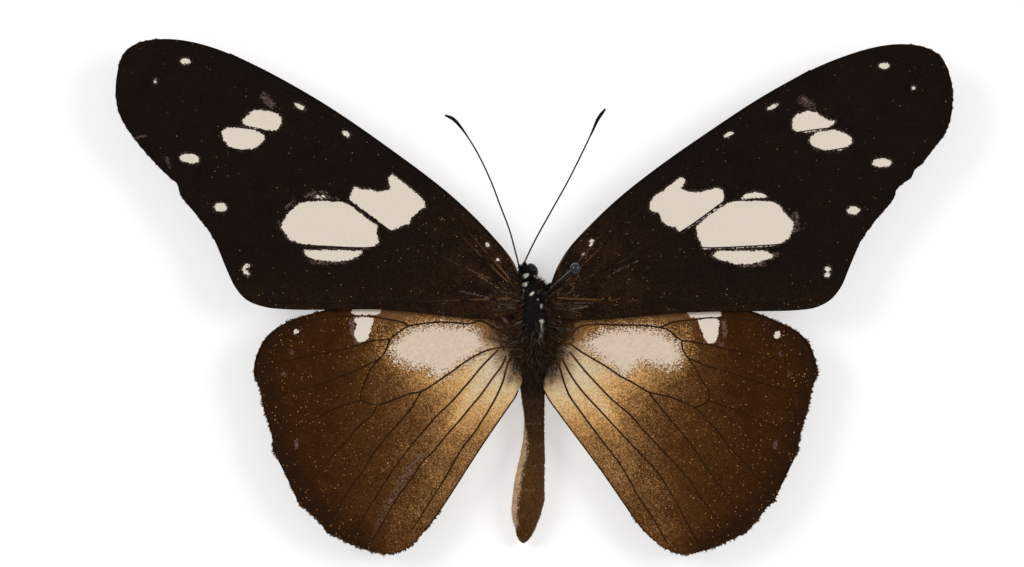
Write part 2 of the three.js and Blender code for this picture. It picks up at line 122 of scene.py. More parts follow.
# Pale patches of the forewings in mm
FOREWING_PATCHES = {
    "left": [
        [(-29.25, 17.65), (-28.55, 18.3), (-28.05, 18.7), (-27.25, 18.75), (-26.45, 18.6),
         (-25.65, 18.35),
         (-25.25, 17.95), (-25.3, 17.35), (-25.55, 16.85), (-26.15, 16.65), (-27.25, 16.8),
         (-28.25, 17.05),
         (-29.05, 17.3)],
        [(-31.25, 16.65), (-30.65, 17), (-29.45, 17), (-28.25, 16.8), (-27.45, 16.55), (-26.95, 16.15),
         (-27.05, 15.65), (-27.65, 15.05), (-28.65, 14.75), (-29.65, 14.8), (-30.55, 15.15),
         (-31.05, 15.75)],
        [(-18.05, 11.05), (-17.25, 10.85), (-16.45, 10.8), (-15.65, 10.55), (-14.45, 10.8),
         (-14.45, 10.99), (-14.63, 11.95), (-14.21, 12.35), (-13.35, 11.7), (-12.25, 10.85),
         (-11.1, 9.75), (-10.85, 9.05), (-11.39, 8.81), (-12.37, 7.89), (-12.58, 7.35), (-13.5, 7.05),
         (-14.35, 6.69), (-18.55, 9.8)],
        [(-25.15, 7.55), (-24.65, 8.35), (-24.05, 8.95), (-23.45, 9.45), (-22.45, 9.62), (-20.95, 9.65),
         (-19.45, 9.55), (-18.55, 9.3), (-17.45, 8.45), (-16.25, 7.55), (-15.65, 7.15), (-15.85, 6.55),
         (-15.65, 5.95), (-15.55, 5.55), (-15.95, 5.15), (-16.65, 4.95), (-18.45, 5), (-20.45, 5.1),
         (-22.45, 5.25), (-23.65, 5.45), (-24.45, 5.75), (-24.95, 6.45), (-25.3, 7.05)],
        [(-23.15, 4.75), (-21.45, 4.75), (-18.95, 4.7), (-17.15, 4.65), (-17.45, 4.25), (-18.05, 3.9),
         (-19.05, 3.65), (-20.45, 3.6), (-21.95, 3.8), (-22.75, 4.15)],
    ],
    "right": [
        [(25.77, 17.72), (25.98, 18.22), (26.61, 18.43), (27.32, 18.6), (28.15, 18.57), (28.59, 18.15),
         (29.29, 17.79), (30.15, 17.58), (29.58, 17.15), (29.29, 16.88), (28.45, 16.75), (27.32, 16.52),
         (26.45, 16.45), (25.98, 16.66), (25.77, 17.02)],
        [(27.6, 16.1), (28.31, 16.57), (29.58, 16.75), (30.42, 16.65), (30.99, 16.38), (31.69, 15.89),
         (31.75, 15.47), (31.27, 15.05), (30.42, 14.69), (29.58, 14.69), (28.45, 14.83), (27.75, 15.18),
         (27.45, 15.61)],
        [(11.55, 9.58), (12.1, 10.22), (12.81, 10.65), (13.51, 11.27), (14.65, 12.05), (14.99, 11.91),
         (15.05, 11.42), (14.65, 10.99), (14.78, 10.78), (15.49, 10.57), (16.47, 10.5), (17.45, 10.78),
         (18.31, 10.99), (18.87, 10.71), (18.95, 10.15), (18.87, 9.58), (17.32, 8.38), (15.91, 7.33),
         (14.65, 6.55), (14.22, 6.76), (14.08, 7.05), (13.37, 7.18), (12.74, 7.61), (12.52, 8.17),
         (12.38, 8.52), (11.82, 8.52), (11.55, 8.88)],
        [(16.19, 7.11), (17.04, 7.89), (18.45, 8.88), (19.29, 9.45), (20.14, 9.65), (21.55, 9.65),
         (23.24, 9.65), (23.95, 9.51), (24.65, 9.02), (25.22, 8.17), (25.92, 7.47), (25.78, 6.76),
         (25.5, 6.05), (24.94, 5.56), (23.95, 5.21), (22.54, 5.07), (20.42, 5), (18.45, 4.93),
         (16.75, 4.85), (16.61, 5.49), (16.25, 6.2)],
        [(20.63, 9.86), (20.99, 10.29), (21.83, 10.55), (22.54, 10.5), (23.38, 10.08), (22.55, 9.95)],
        [(17.75, 4.15), (18.31, 4.65), (20.42, 4.69), (23.25, 4.65), (23.88, 4.22), (23.53, 3.87),
         (22.55, 3.59), (21.55, 3.31), (20.15, 3.31), (19.29, 3.59), (18.31, 3.87)],
    ],
}
# Small pale spots on the sheet: x, y, half width, half height, tilt in degrees
FOREWING_SPOTS = {
    "left": [
        (186, 61.5, 5, 3, 0), (190, 158.5, 10, 4.6, -8), (221, 207.5, 6.8, 4.4, 0),
        (300, 106.5, 6, 2, -28),
        (346, 134, 4.4, 2.8, -30), (247, 266, 3.6, 2, 20), (245, 270, 2, 4, 0),
        (248, 273.5, 2.6, 1.8, -20),
        (321.5, 196.9, 8, 1.2, -3), (156, 81.5, 1.9, 1.9, 0), (487.5, 245, 2, 2, 0),
        (498, 260, 1.6, 1.6, 0),
    ],
    "right": [
        (883.5, 66, 5.2, 3, 0), (913, 88, 2, 1.8, 0), (881.5, 163, 10, 4.3, 0), (853, 210.5, 6.5, 4.2, 0),
        (827.5, 269, 3.4, 2.6, 0), (827, 275, 3.2, 2.4, 0), (772.5, 107, 6, 1.9, 26),
        (728.5, 134.8, 5, 2.4, 28),
        (592, 241, 2.4, 1.6, 0), (591, 245, 1.7, 2.6, 0), (584, 254.5, 1.8, 1.8, 0),
    ],
}
# Rubbed places on the sheet: from x, y to x, y, half width, strength
FOREWING_RUBS = {
    "left": [
        (264, 97, 272, 105, 4.5, 0.55), (305, 196, 315, 194, 1.6, 0.75), (313, 192, 326, 193, 2, 0.5),
        (330, 198, 338, 199, 0.8, 0.5),
        (287, 207, 294, 200, 2.2, 0.5), (279, 222, 281, 230, 1.6, 0.5),
        (376, 231, 378, 244, 2, 0.35), (310, 262, 345, 262, 2.5, 0.5),
        (137, 138, 146, 136, 1.4, 0.5), (166, 157, 171, 167, 2.5, 0.35),
        (478, 275, 498, 288, 0.7, 0.6), (460, 291, 490, 298, 0.7, 0.55), (500, 299, 520, 301, 0.7, 0.5),
    ],
    "right": [
        (802, 100, 811, 106, 4.5, 0.55), (816, 148, 827, 148, 3, 0.5), (795, 215, 796, 230, 3.5, 0.6),
        (713, 253, 722, 257, 2.5, 0.6), (740, 265, 765, 264, 2.5, 0.5), (772, 258, 776, 254, 2.5, 0.5),
        (611, 274, 639, 260, 0.6, 0.6), (573, 309, 586, 306.5, 1.0, 0.8), (556, 303, 594, 303, 0.6, 0.5),
    ],
}

# Pale patches of the hindwings in mm: the loose-edged cell patch, and the two clear-cut costal patches
HINDWING_CREAM = {
    "left": [(-14.35, -4.75), (-13.45, -3.75), (-12.25, -2.95), (-10.45, -2.65), (-8.45, -2.65),
             (-6.45, -2.85), (-5.45, -3.45), (-4.75, -4.75), (-4.95, -5.35), (-6.55, -6.2),
             (-8.27, -7.43),
             (-9.4, -8.2), (-10.25, -7.65), (-10.95, -7.05), (-12.45, -7.05), (-13.75, -6.45),
             (-14.45, -5.45)],
    "right": [(4.85, -4.75), (5.75, -3.95), (7.05, -3.25), (8.55, -2.95), (11.05, -2.95), (12.35, -3.15),
              (13.35, -3.65), (14.35, -4.45), (14.75, -5.25), (14.85, -6.05), (14.55, -6.65),
              (13.55, -7.15), (12.05, -6.85), (10.55, -6.65), (9.75, -7.45), (9.05, -8.05)],
}
HINDWING_PATCHES = {
    "left": [
        [(-18.35, -1.45), (-18.25, -0.9), (-15.25, -0.9), (-15.55, -1.75), (-16.95, -1.75),
         (-18.05, -1.75)],
        [(-18.15, -2.15), (-17.85, -2), (-16.85, -1.95), (-16.05, -2.1), (-16.25, -2.75), (-16.45, -3.55),
         (-16.75, -4.25), (-17.25, -4.5), (-17.75, -4.45), (-18, -3.85), (-18.05, -3.35),
         (-17.75, -2.75)],
    ],
    "right": [
        [(15.1, -1.1), (18.55, -1.1), (18.75, -1.75), (18.55, -1.95), (17.05, -2), (15.55, -2.05)],
        [(16.25, -2.25), (17.05, -2.15), (18.05, -2.05), (18.55, -2.25), (18.45, -3.05), (18.4, -3.65),
         (18.25, -4.25), (17.85, -4.55), (17.45, -4.6), (17.15, -4.35), (16.85, -3.75), (16.55, -2.95)],
    ],
}
HINDWING_SPOTS = {
    "left": [(296, 332, 3.8, 2.4, 20)],
    "right": [(777.5, 335, 3.4, 3.8, 0)],
}
HINDWING_RUBS = {
    "left": [
        (352, 322, 353, 334, 3, 0.8), (354, 334, 357, 343, 2.5, 0.7), (291, 352, 291.5, 352.5, 2.6, 0.6),
        (283, 374, 283.5, 374.5, 2.8, 0.6), (296.5, 442, 296.5, 448, 2.2, 0.6),
        (419, 456, 407, 474, 2, 0.6), (407, 474, 387, 507, 1.3, 0.6), (414, 470, 398, 497, 1, 0.5),
        (387, 507, 376, 527, 2.5, 0.42), (424, 452, 421, 464, 1.2, 0.5), (410, 468, 392, 498, 5, 0.3),
        (502, 317, 508, 323, 1.6, 0.9), (508, 326, 509.5, 328, 0.8, 0.8), (503, 339, 510, 337, 0.8, 0.7),
        (495, 325, 497, 328, 1.2, 0.6), (493, 334, 498, 338, 1.2, 0.5),
    ],
    "right": [
        (724, 322, 725, 336, 2.4, 0.7), (719, 342, 722, 346, 2.5, 0.6),
        (781, 353.5, 781.5, 354, 2.2, 0.5),
        (789.5, 373.5, 790, 374, 2.6, 0.55), (775.5, 442, 775.5, 448, 2, 0.5),
        (560.5, 317, 558, 325, 1.8, 0.85), (557, 328, 555.5, 335, 1, 0.7), (560, 334, 562, 333, 0.7, 0.8),
        (558, 341, 567, 344, 0.7, 0.7),
    ],
}
GOLD_DUST = {
    "left": [
        (378, 328, 384, 352, 8, 0.8), (395, 360, 425, 367, 6, 0.6), (398, 441, 408, 453, 5, 0.16),
        (428, 464, 443, 488, 8, 0.2), (470, 318, 484, 334, 9, 0.9), (486, 347, 499, 355, 5, 0.6),
        (410, 510, 418, 514, 4, 0.25), (380, 470, 392, 462, 3, 0.12),
    ],
    "right": [
        (684, 330, 690, 350, 8, 0.8), (650, 366, 678, 370, 6, 0.6), (580, 330, 594, 324, 7, 0.6),
        (572, 351, 588, 361, 5, 0.6), (640, 470, 660, 492, 8, 0.12),
    ],
}
# Pale inner field of a hindwing: its tones, and how far out in mm each is reached, by angle
# towards the tail
GLOW_CENTRE = {"left": (505.0, 345.0), "right": (563.0, 347.0)}
GLOW_ANGLE = [-30, -20, -10, 0, 8, 16, 24, 32, 40, 48, 56, 64, 75]
GLOW_TONES = [1.0, 0.8, 0.6, 0.45, 0.3, 0.25, 0.0]
GLOW_REACH = [
    [0.1, 0.1, 3.0, 4.0, 4.0, 4.0, 3.8, 3.4, 3.2, 3.2, 4.2, 3.4, 3.4],
    [0.2, 0.2, 6.0, 7.0, 8.0, 7.0, 6.5, 5.4, 5.0, 5.4, 8.0, 6.2, 6.0],
    [0.3, 0.3, 7.0, 8.0, 9.0, 8.6, 8.4, 7.4, 7.2, 7.4, 9.6, 8.4, 7.8],
    [0.5, 0.5, 8.0, 9.0, 10.0, 9.6, 9.8, 8.8, 9.1, 9.1, 10.9, 10.0, 10.0],
    [4.0, 4.0, 10.0, 11.0, 11.5, 11.5, 11.5, 11.0, 10.7, 12.3, 14.5, 17.0, 20.0],
    [12.0, 12.0, 12.0, 13.5, 13.0, 13.0, 12.5, 13.0, 12.3, 15.0, 17.5, 23.0, 26.0],
    [18.0, 17.0, 16.5, 17.0, 18.0, 18.0, 20.0, 22.3, 24.0, 25.0, 30.0, 34.0, 36.0],
]
# Dark furry roots of the hindwings on the sheet
HINDWING_ROOTS = {
    "left": [(492, 306), (491, 325), (496, 338), (502, 348), (509, 360), (515, 374), (530, 380),
             (530, 306)],
    "right": [(579, 306), (576, 325), (572, 337), (568, 347), (562, 360), (556, 374), (540, 380),
              (540, 306)],
}

# Veins on the sheet, from the body outwards
FOREWING_VEINS_LEFT = [
    [(512, 281), (478, 243), (440, 198), (394, 158), (340, 121), (300, 97), (262, 76), (215, 56)],
    [(512, 286), (475, 250), (433, 204), (394, 169), (360, 158), (320, 143), (290, 135), (270, 131.5),
     (228, 126),
     (165, 116), (120, 108)],
    [(360, 158), (351, 176), (347, 190), (349.5, 201.5)],
    [(347, 190), (310, 171), (250, 152), (200, 146), (150, 150)],
    [(514, 290), (470, 270), (430, 251), (391, 231), (349.5, 201.5)],
    [(349.5, 201.5), (330, 200.3), (300, 200), (255, 199), (208, 198)],
    [(402, 237), (390, 244), (372, 247.5), (320, 246), (270, 243), (222, 241)],
    [(440, 256), (415, 266), (370, 273), (300, 279), (237, 281)],
    [(516, 298), (470, 300), (400, 302), (320, 303), (262, 302)],
    [(394, 169), (350, 140), (300, 118), (262, 107), (190, 88), (130, 75)],
]
FOREWING_VEIN_MIRROR = 1073.0  # what the sheet x of a right and of a left vein point add up to
HINDWING_VEINS = {
    "left": [
        [(498, 330), (480, 321), (470, 323.6), (441.5, 322), (420, 324), (408.7, 326)],
        [(408.7, 326), (402, 322.5), (388.6, 319.5), (370, 316.4), (355.8, 316), (335, 317), (300, 322),
         (276, 329)],
        [(408.7, 326), (400, 331), (390.3, 339)],
        [(390.3, 339), (373, 341), (357.8, 345), (347.6, 348.2), (320, 354), (290, 360), (258, 366)],
        [(390.3, 339), (388, 343), (385.5, 351), (379.4, 359)],
        [(379.4, 359), (368, 364.6), (347.6, 373.8), (337, 378), (317, 385), (290, 392), (262, 399)],
        [(379.4, 359), (371, 368), (366, 380), (361, 392), (361, 400.5)],
        [(361, 400.5), (353.7, 402), (343.5, 405.6), (332, 409.7), (318.8, 417), (306.5, 423),
         (288, 432), (272, 439)],
        [(361, 400.5), (368, 403.3), (377, 405.6)],
        [(377, 405.6), (371, 416), (357.8, 427), (347.6, 439.5), (333.8, 454), (318, 473), (301, 495)],
        [(502, 347), (485.6, 351), (469, 359.5), (451.8, 371.8), (440.5, 379.5), (421, 391.8),
         (410.8, 393.3),
         (400.5, 397.4), (386, 402.6), (377, 405.6)],
        [(421, 391.8), (418, 396.4), (410.8, 408.7), (400.5, 421), (383, 440.8), (369.7, 459),
         (362.6, 471.5),
         (350, 488), (326, 529)],
        [(498, 350), (482.6, 365.6), (472.3, 378), (462, 390), (450.8, 402.6), (437.4, 415), (428, 426),
         (417, 438.5), (410.8, 445.6), (385, 482), (350, 541)],
        [(506, 356), (502, 365.6), (492.8, 378), (480.5, 395.4), (470, 407.7), (460, 420), (445.6, 436.4),
         (431.7, 453.3), (423.3, 460.8), (415, 473.3), (406.7, 485), (400, 493.3), (373, 540)],
        [(510, 358), (506, 369.7), (503, 381), (497, 395.4), (487.7, 411.8), (475, 431.7), (461.7, 449),
         (448.3, 472.5), (433.3, 496.7), (412, 530)],
    ],
    "right": [
        [(567, 340), (573, 332.8), (580, 326.7), (592.4, 324.6), (617, 325), (645.8, 325.6), (657, 327),
         (667, 329)],
        [(661, 327.5), (671, 323), (681, 321), (695.8, 319.5), (706, 318), (720, 318), (740, 319),
         (770, 324),
         (796, 335)],
        [(667, 329), (671, 331.8), (678, 338), (682.4, 341)],
        [(682.4, 341), (690.6, 341.5), (701, 343.6), (709, 344.6), (722.4, 348), (750, 353), (785, 361),
         (814, 368)],
        [(682.4, 341), (682.4, 346), (684.5, 353), (688.6, 358)],
        [(688.6, 358), (702, 364), (730, 373), (755, 381), (785, 390), (810, 398)],
        [(688.6, 358), (696, 369), (703, 382), (708, 389), (709, 395), (709, 401)],
        [(709, 401), (716, 402.6), (722.4, 405.6), (737, 410), (755, 418), (778, 429), (801, 440)],
        [(709, 401), (701, 405.7), (694.7, 407.5)],
        [(694.7, 407.5), (700, 411.8), (711.8, 424.4), (722, 435.6), (730, 448), (739.5, 457),
         (757, 477), (777, 502)],
        [(563, 343), (570, 344), (580, 351), (592.4, 358.5), (604.7, 365.6), (620, 376), (631.4, 382),
         (648.8, 392),
         (658, 394.4), (671.4, 397.4), (683.7, 402.6), (694.7, 407.5)],
        [(648.8, 392), (653, 397.4), (661, 407.7), (674.9, 424.4), (686, 437.7), (697.4, 453),
         (706.7, 467.4),
         (715.9, 480.8), (729, 499), (748, 531)],
        [(570, 352), (584, 369.7), (592.4, 379), (601.7, 389), (612, 399.5), (623, 408.7), (633.5, 418),
         (640.6, 427),
         (656.4, 443.8), (691, 481.8), (701.5, 499), (709.7, 509.5), (727, 536)],
        [(562, 358), (567.8, 369.7), (576, 383), (585, 394.4), (596.5, 406.7), (608.8, 420),
         (621, 433.3), (640, 453.3),
         (658.3, 473.3), (676, 502), (697, 541)],
        [(556, 358), (559.6, 366.7), (563.7, 381), (569.9, 396.4), (580, 410.8), (594, 430),
         (606.7, 446.7), (620, 464),
         (630, 480.8), (640, 499), (650, 513.3), (659, 528), (668, 545)],
    ],
}

# Body stations in mm from front to rear: y, centre x, half width, centre z, half height
THORAX = [
    (1.75, -0.48, 0.6, 2.7, 0.7), (1.6, -0.45, 0.75, 2.7, 0.9), (1.05, -0.35, 1.2, 2.6, 1.45),
    (0.2, -0.15, 1.45, 2.5, 2.1), (-0.9, 0, 1.75, 2.35, 2.6), (-2.3, 0.05, 2, 2.3, 2.8),
    (-4, 0.05, 2.05, 2.28, 2.8), (-5.5, 0, 1.9, 2.25, 2.6), (-6.5, -0.03, 1.6, 2.3, 2.1),
    (-7.1, -0.05, 1.1, 2.4, 1.5),
]
ABDOMEN = [
    (-6.4, -0.05, 1.3, 2.7, 1.5), (-7.5, -0.07, 1.42, 2.6, 1.55), (-9.4, -0.15, 1.2, 2.4, 1.45),
    (-12.2, 0, 0.98, 2.1, 1.4), (-14.2, -0.05, 1.05, 1.9, 1.45), (-16.3, -0.22, 1.28, 1.8, 1.6),
    (-18.3, -0.48, 1.48, 1.75, 1.7), (-20.3, -0.6, 1.62, 1.65, 1.65), (-21.8, -0.82, 1.46, 1.5, 1.4),
    (-23.1, -0.9, 1.04, 1.35, 1), (-24.3, -1.05, 0.6, 1.25, 0.6), (-24.8, -1.1, 0.32, 1.2, 0.35),
]
ABDOMEN_GROOVES = [-9.45, -12.7, -14.85, -16.9, -19.3, -21.95]
GROOVE_DEPTH = 0.05  # as a share of the radius
GROOVE_WIDTH = 0.13
# Angle round the abdomen where its pale flank starts, by the place along it
FLANK_PLACE = [-25.0, -23.9, -22.8, -15.0, -13.3, -12.3, -6.0]
FLANK_START = [215.0, 205.0, 132.0, 121.0, 144.0, 185.0, 190.0]
FLANK_END = 335.0
HEAD_CENTRE = np.array([-0.66, 2.3, 2.8])
HEAD_RADII = np.array([0.85, 0.95, 0.95])
HEAD_YAW = 0.56
EYE_RADII = np.array([0.5, 0.72, 0.8])
EYE_PLACE = (0.66, 0.15, 0.06)
# Pale marks of the head and the thorax on the sheet: x, y, half width, half height, tilt, strength
BODY_SPOTS = [
    (525, 276.3, 4.4, 1.9, 32, 0.9), (524.8, 284.2, 2.4, 2.3, 0, 1.0), (535.4, 276, 1.6, 1.3, 0, 0.35),
    (532, 293.7, 2.8, 1.1, 41, 0.95), (523.4, 290.5, 1.6, 0.8, -40, 0.3),
    (538.6, 290.7, 3.2, 0.8, -72, 0.5),
    (542.8, 295.8, 1.1, 1.1, 0, 0.5), (538, 299.4, 1.0, 0.9, 0, 0.35), (541.4, 306, 0.9, 2.2, 0, 0.6),
    (541.7, 321.2, 2.3, 1.9, 0, 0.62), (541.6, 327.5, 1.1, 4.6, 4, 0.5), (540.4, 335, 1.6, 2.0, 20, 0.32),
    (537, 340.5, 3.2, 0.7, -25, 0.25), (528, 282, 0.7, 0.7, 0, 0.5), (520.5, 277, 1.0, 1.2, 0, 0.35),
]

# Centre lines of the thin pieces in mm
ANTENNAE = {
    "left": [(-1.5, 2.95, 3.2), (-1.65, 3.55, 3.6), (-1.95, 4.75, 3.9), (-2.5, 6.75, 4.2),
             (-3.45, 9.25, 4.5),
             (-4.45, 11.85, 4.7), (-5.9, 14.8, 4.9), (-7.35, 17, 5), (-8.15, 17.85, 5),
             (-8.95, 18.22, 5)],
    "right": [(-1.1, 3.25, 3.2), (-0.85, 3.85, 3.6), (0.05, 5.7, 4), (1.65, 8.6, 4.4), (3.3, 11.55, 4.7),
              (4.95, 14.85, 4.9), (5.85, 16.75, 5), (6.35, 17.85, 5), (7.08, 18.85, 5)],
}
LEGS = {
    "foreleg": [(0.7, -0.1, 0.9), (1.25, 0.9, 1.1), (1.75, 1.3, 1.1), (2.05, 0.2, 0.55), (2.6, -1.1, 0.1)],
    "midleg": [(0.9, -2.6, 0.7), (1.9, -2.2, 1.1), (2.5, -2.1, 1.15), (2.9, -3.3, 0.6), (3.3, -4.6, 0.1)],
    "hindleg": [(0.8, -5, 0.8), (1.7, -5.4, 1.2), (2.3, -5.7, 1.2), (2.55, -7.1, 0.55), (2.85, -8.7, 0.1)],
}
LEG_PLACE = [0, 0.28, 0.42, 0.46, 0.7, 0.73, 0.97, 1]
LEG_RADIUS = [0.2, 0.25, 0.2, 0.15, 0.12, 0.1, 0.08, 0.04]
LEG_STEPS = 90
LEG_SPINES = 26
PALP = [(0.25, 0.5, -0.85), (0.25, 0.98, -0.55), (0.25, 1.12, 0.1)]
PALP_STEPS = 40
PALP_HAIRS = 220
ANTENNA_STEM = 0.08
ANTENNA_CLUB = 0.18
SIDES = {"left": -1, "right": 1}
COIL_RADIUS = 0.62
COIL_TURNS = 2.2
COIL_STEPS = 220
PIN_FOOT = np.array([0.6, -0.3, 3.8])
PIN_HEAD_CENTRE = np.array([4.0, 2.88, 12.6])
PIN_SHAFT_STEPS = 23
PIN_BALL_STEPS = 40

# Numbers of hairs, and the lie of the long ones along the side of the thorax
SIDE_HAIRS = 1700
SIDE_HAIR_PLACE = [-7, -5, -3, -1.2, 0.6]
SIDE_HAIR_SHARE = [0.7, 0.9, 1.2, 0.8, 0.3]
SHOULDER_HAIRS = 1100
HEAD_HAIRS = 900
ABDOMEN_HAIRS = 4200
ROOT_HAIRS = {"forewing": 360, "hindwing": 420}
ROOT_HUB = {"forewing": (0.8, -0.8), "hindwing": (0.9, -5.2)}
ROOT_FAN = {"forewing": (-12, 60), "hindwing": (-80, 45)}  # degrees from straight outwards

# Plain scales of veins and fringe: size in mm, roughness and shine
SCALE_SIZE = 0.12
SCALE_ROUGHNESS = 0.75
SCALE_SHINE = 0.04

# Stage in metres
FLOOR_CORNERS = [(-1.5, -1.5, 0), (1.5, -1.5, 0), (1.5, 1.5, 0), (-1.5, 1.5, 0)]
LAMPS = {"left_lamp": (-0.32, 0.16, 0.34), "right_lamp": (0.34, 0.1, 0.34)}
LAMP_SIZE = 0.2


def paint(red, green, blue):
    """A linear colour from red, green and blue between 0 and 255."""
    share = np.array([red, green, blue]) / 255
    return tuple(np.where(share <= 0.04045, share / 12.92, ((share + 0.055) / 1.055) ** 2.4))


def colour(name, description, red, green, blue):
    """A colour setting."""
    shown = paint(red, green, blue)
    return FloatVectorProperty(
        name=name, description=description, default=shown, subtype="COLOR", size=3, min=0, max=1
    )


def length(name, description, default):
    """A length setting in millimetres."""
    return FloatProperty(name=name, description=description + ", in millimetres", default=default, min=0)


class SpecimenWings(bpy.types.PropertyGroup):
    """Sizes and colours of the four wings."""

    rows: IntProperty(name="Rows", description="Steps of a wing sheet from body to tip", default=220, min=20)
    columns: IntProperty(name="Columns", description="Steps of a wing sheet across", default=100, min=10)
    thickness: length("Thickness", "Thickness of a wing sheet", 0.12)
    vein_root: length("Vein root", "Radius of a vein near the body", 0.11)
    vein_tip: length("Vein tip", "Radius of a vein at the wing edge", 0.075)
    fringe: length("Fringe", "Length of the fringe scales at the outer edge", 0.3)
    fore_ground: colour("Forewing ground", "Dark scales of the forewing", 25, 17, 12)
    fore_brown: colour("Forewing brown", "Brown scales near the forewing root", 44, 29, 18)
    fore_under: colour("Forewing underside", "Ground of the forewing underside", 70, 50, 34)
    pale: colour("Pale patches", "Cream scales of the forewing patches", 221, 209, 194)
    cream: colour("Cell patch", "Cream scales of the hindwing cell", 216, 195, 174)
    lilac: colour("Rubbed scales", "Greyish places where scales are rubbed off", 112, 92, 84)
    gold: colour("Gold dust", "Loose golden scales", 196, 150, 92)
    margin: colour("Hindwing margin", "Dark outer edge of the hindwing", 38, 22, 12)
    fringe_tone: colour("Fringe tone", "Loose scales along the hindwing's outer edge", 72, 50, 33)
    dots: colour("Dots", "Loose dark scales round the cell patch", 92, 58, 28)
    costal: colour("Costal band", "Lighter front band of the hindwing", 112, 77, 47)
    root: colour("Wing roots", "Dark fur at the hindwing roots", 30, 21, 15)
    vein: colour("Veins", "Hindwing veins near the root", 70, 44, 21)
    outer_vein: colour("Outer veins", "Hindwing veins towards the edge", 44, 26, 11)
    # Painted highlight: the lighter colour of the forewing veins near the root stands in for light on their
    # ridges
    painted_vein_highlight: colour("Worn veins", "Forewing veins near the root", 92, 64, 42)


class SpecimenBody(bpy.types.PropertyGroup):
    """Sizes and colours of the body."""

    fur_count: IntProperty(name="Fur", description="Hairs of the thorax", default=8000, min=100)
    fur_length: length("Fur length", "Length of the thorax hairs", 0.42)
    hair_radius: length("Hair radius", "Radius of a hair at its root", 0.025)
    fur: colour("Fur", "Dark fur and skin of the thorax and head", 14, 11, 9)
    brown_fur: colour("Brown fur", "Brown hairs in the fur", 94, 64, 41)
    # Pale fur also colours the hairs that carry the painted glints of the thorax
    pale_fur: colour("Pale fur", "White and grey scales in the fur", 214, 210, 190)
    abdomen_front: colour("Abdomen front", "Furry first part of the abdomen", 34, 24, 16)
    abdomen: colour("Abdomen", "Upper side of the abdomen at its front", 50, 34, 18)
    abdomen_rear: colour("Abdomen rear", "Upper side of the abdomen at its rear", 80, 51, 21)
    flank: colour("Flank", "Pale flank of the abdomen", 184, 152, 118)
    eye: colour("Eye", "Compound eyes", 17, 13, 12)
    cuticle: colour("Cuticle", "Feelers, legs and mouthparts", 22, 16, 13)


class SpecimenPin(bpy.types.PropertyGroup):
    """Sizes and colours of the pin."""

    radius: length("Radius", "Radius of the pin's shaft", 0.25)
    head: length("Head", "Radius of the pin's head", 0.55)
    enamel: colour("Enamel", "Dark enamel of the shaft", 20, 17, 16)
    ball: colour("Ball", "Grey ball head", 36, 34, 35)


class SpecimenStage(bpy.types.PropertyGroup):
    """Floor, light and camera."""

    floor: colour("Floor", "Plain pale floor", 208, 208, 208)
    floor_glow: FloatProperty(name="Floor glow", description="Light from the floor", default=0.45, min=0)
    sky: FloatProperty(name="Sky", description="Strength of the even light", default=0.5, min=0)
    lamp: FloatProperty(name="Lamp", description="Power of each soft lamp in watts", default=0.9, min=0)
    lens: FloatProperty(name="Lens", description="Focal length in millimetres", default=150, min=10)
    view_width: length("View width", "Width of the view at the wings", 102.4)
    view_x: FloatProperty(name="View x", description="Middle of the view across, in mm", default=-2.22)
    view_y: FloatProperty(name="View y", description="Middle of the view lengthwise, in mm", default=1.35)
    view_height: length("View height", "Height of the plane that the view width is measured on", 4.7)


def drawn(points):
    """Points of the marking sheet in mm: measured from its zero, ten units to the mm, Y turned up."""
    return (np.asarray(points, float) - SHEET_ZERO) / SHEET_SCALE * (1, -1)


def smoothstep(value, low, high):
    """0 below low, 1 above high and a smooth S between them."""
    share = np.clip((value - low) / (high - low), 0, 1)
    return share * share * (3 - 2 * share)


def smooth_line(points, count):
    """A centripetal curve through points, in count points at even spacing.
    Each span is a cubic. Its end slopes come from the next points, weighted by the root of the gaps."""
    knots = np.asarray(points, float)
    knots = np.vstack([2 * knots[0] - knots[1], knots, 2 * knots[-1] - knots[-2]])
    gap = np.sqrt(np.maximum(np.linalg.norm(np.diff(knots, axis=0), axis=1), 1e-6))[:, None]
    before, here, after = gap[:-2], gap[1:-1], gap[2:]
    a, b, c, d = knots[:-3], knots[1:-2], knots[2:-1], knots[3:]
    start = ((b - a) / before - (c - a) / (before + here) + (c - b) / here) * here
    end = ((c - b) / here - (d - b) / (here + after) + (d - c) / after) * here
    place = np.linspace(0, len(b), 40 * len(b) + 1)
    span = np.minimum(place.astype(int), len(b) - 1)
    t = (place - span)[:, None]
    b, c, start, end = b[span], c[span], start[span], end[span]
    line = (2 * t**3 - 3 * t**2 + 1) * b + (t**3 - 2 * t**2 + t) * start
    line += (3 * t**2 - 2 * t**3) * c + (t**3 - t**2) * end
    run = np.concatenate([[0], np.cumsum(np.linalg.norm(np.diff(line, axis=0), axis=1))])
    even = np.linspace(0, run[-1], count)
    return np.stack([np.interp(even, run, column) for column in line.T], axis=1)


def line_distance(points, line, closed=False):
    """Distance from each point to a broken line: the least of the gaps to the nearest point of each span."""
    a = np.asarray(line, float)
    b = np.roll(a, -1, axis=0)
    if not closed:
        a, b = a[:-1], b[:-1]
    along = b - a
    offset = points[:, None] - a
    share = np.clip((offset * along).sum(-1) / np.maximum((along**2).sum(-1), 1e-12), 0, 1)
    return np.linalg.norm(offset - share[..., None] * along, axis=-1).min(1)


def inside_distance(points, loop):
    """Distance to a closed loop, positive inside, where a ray to the right crosses it an odd number of times
    and negative outside."""
    a = np.asarray(loop, float)
    b = np.roll(a, -1, axis=0)
    x, y = points[:, :1], points[:, 1:]
    rise = np.where(b[:, 1] == a[:, 1], 1e-12, b[:, 1] - a[:, 1])
    crossed = ((a[:, 1] > y) != (b[:, 1] > y)) & (x < (b[:, 0] - a[:, 0]) * (y - a[:, 1]) / rise + a[:, 0])
    inside = crossed.sum(1) % 2 == 1
    return np.where(inside, 1, -1) * line_distance(points, a, True)


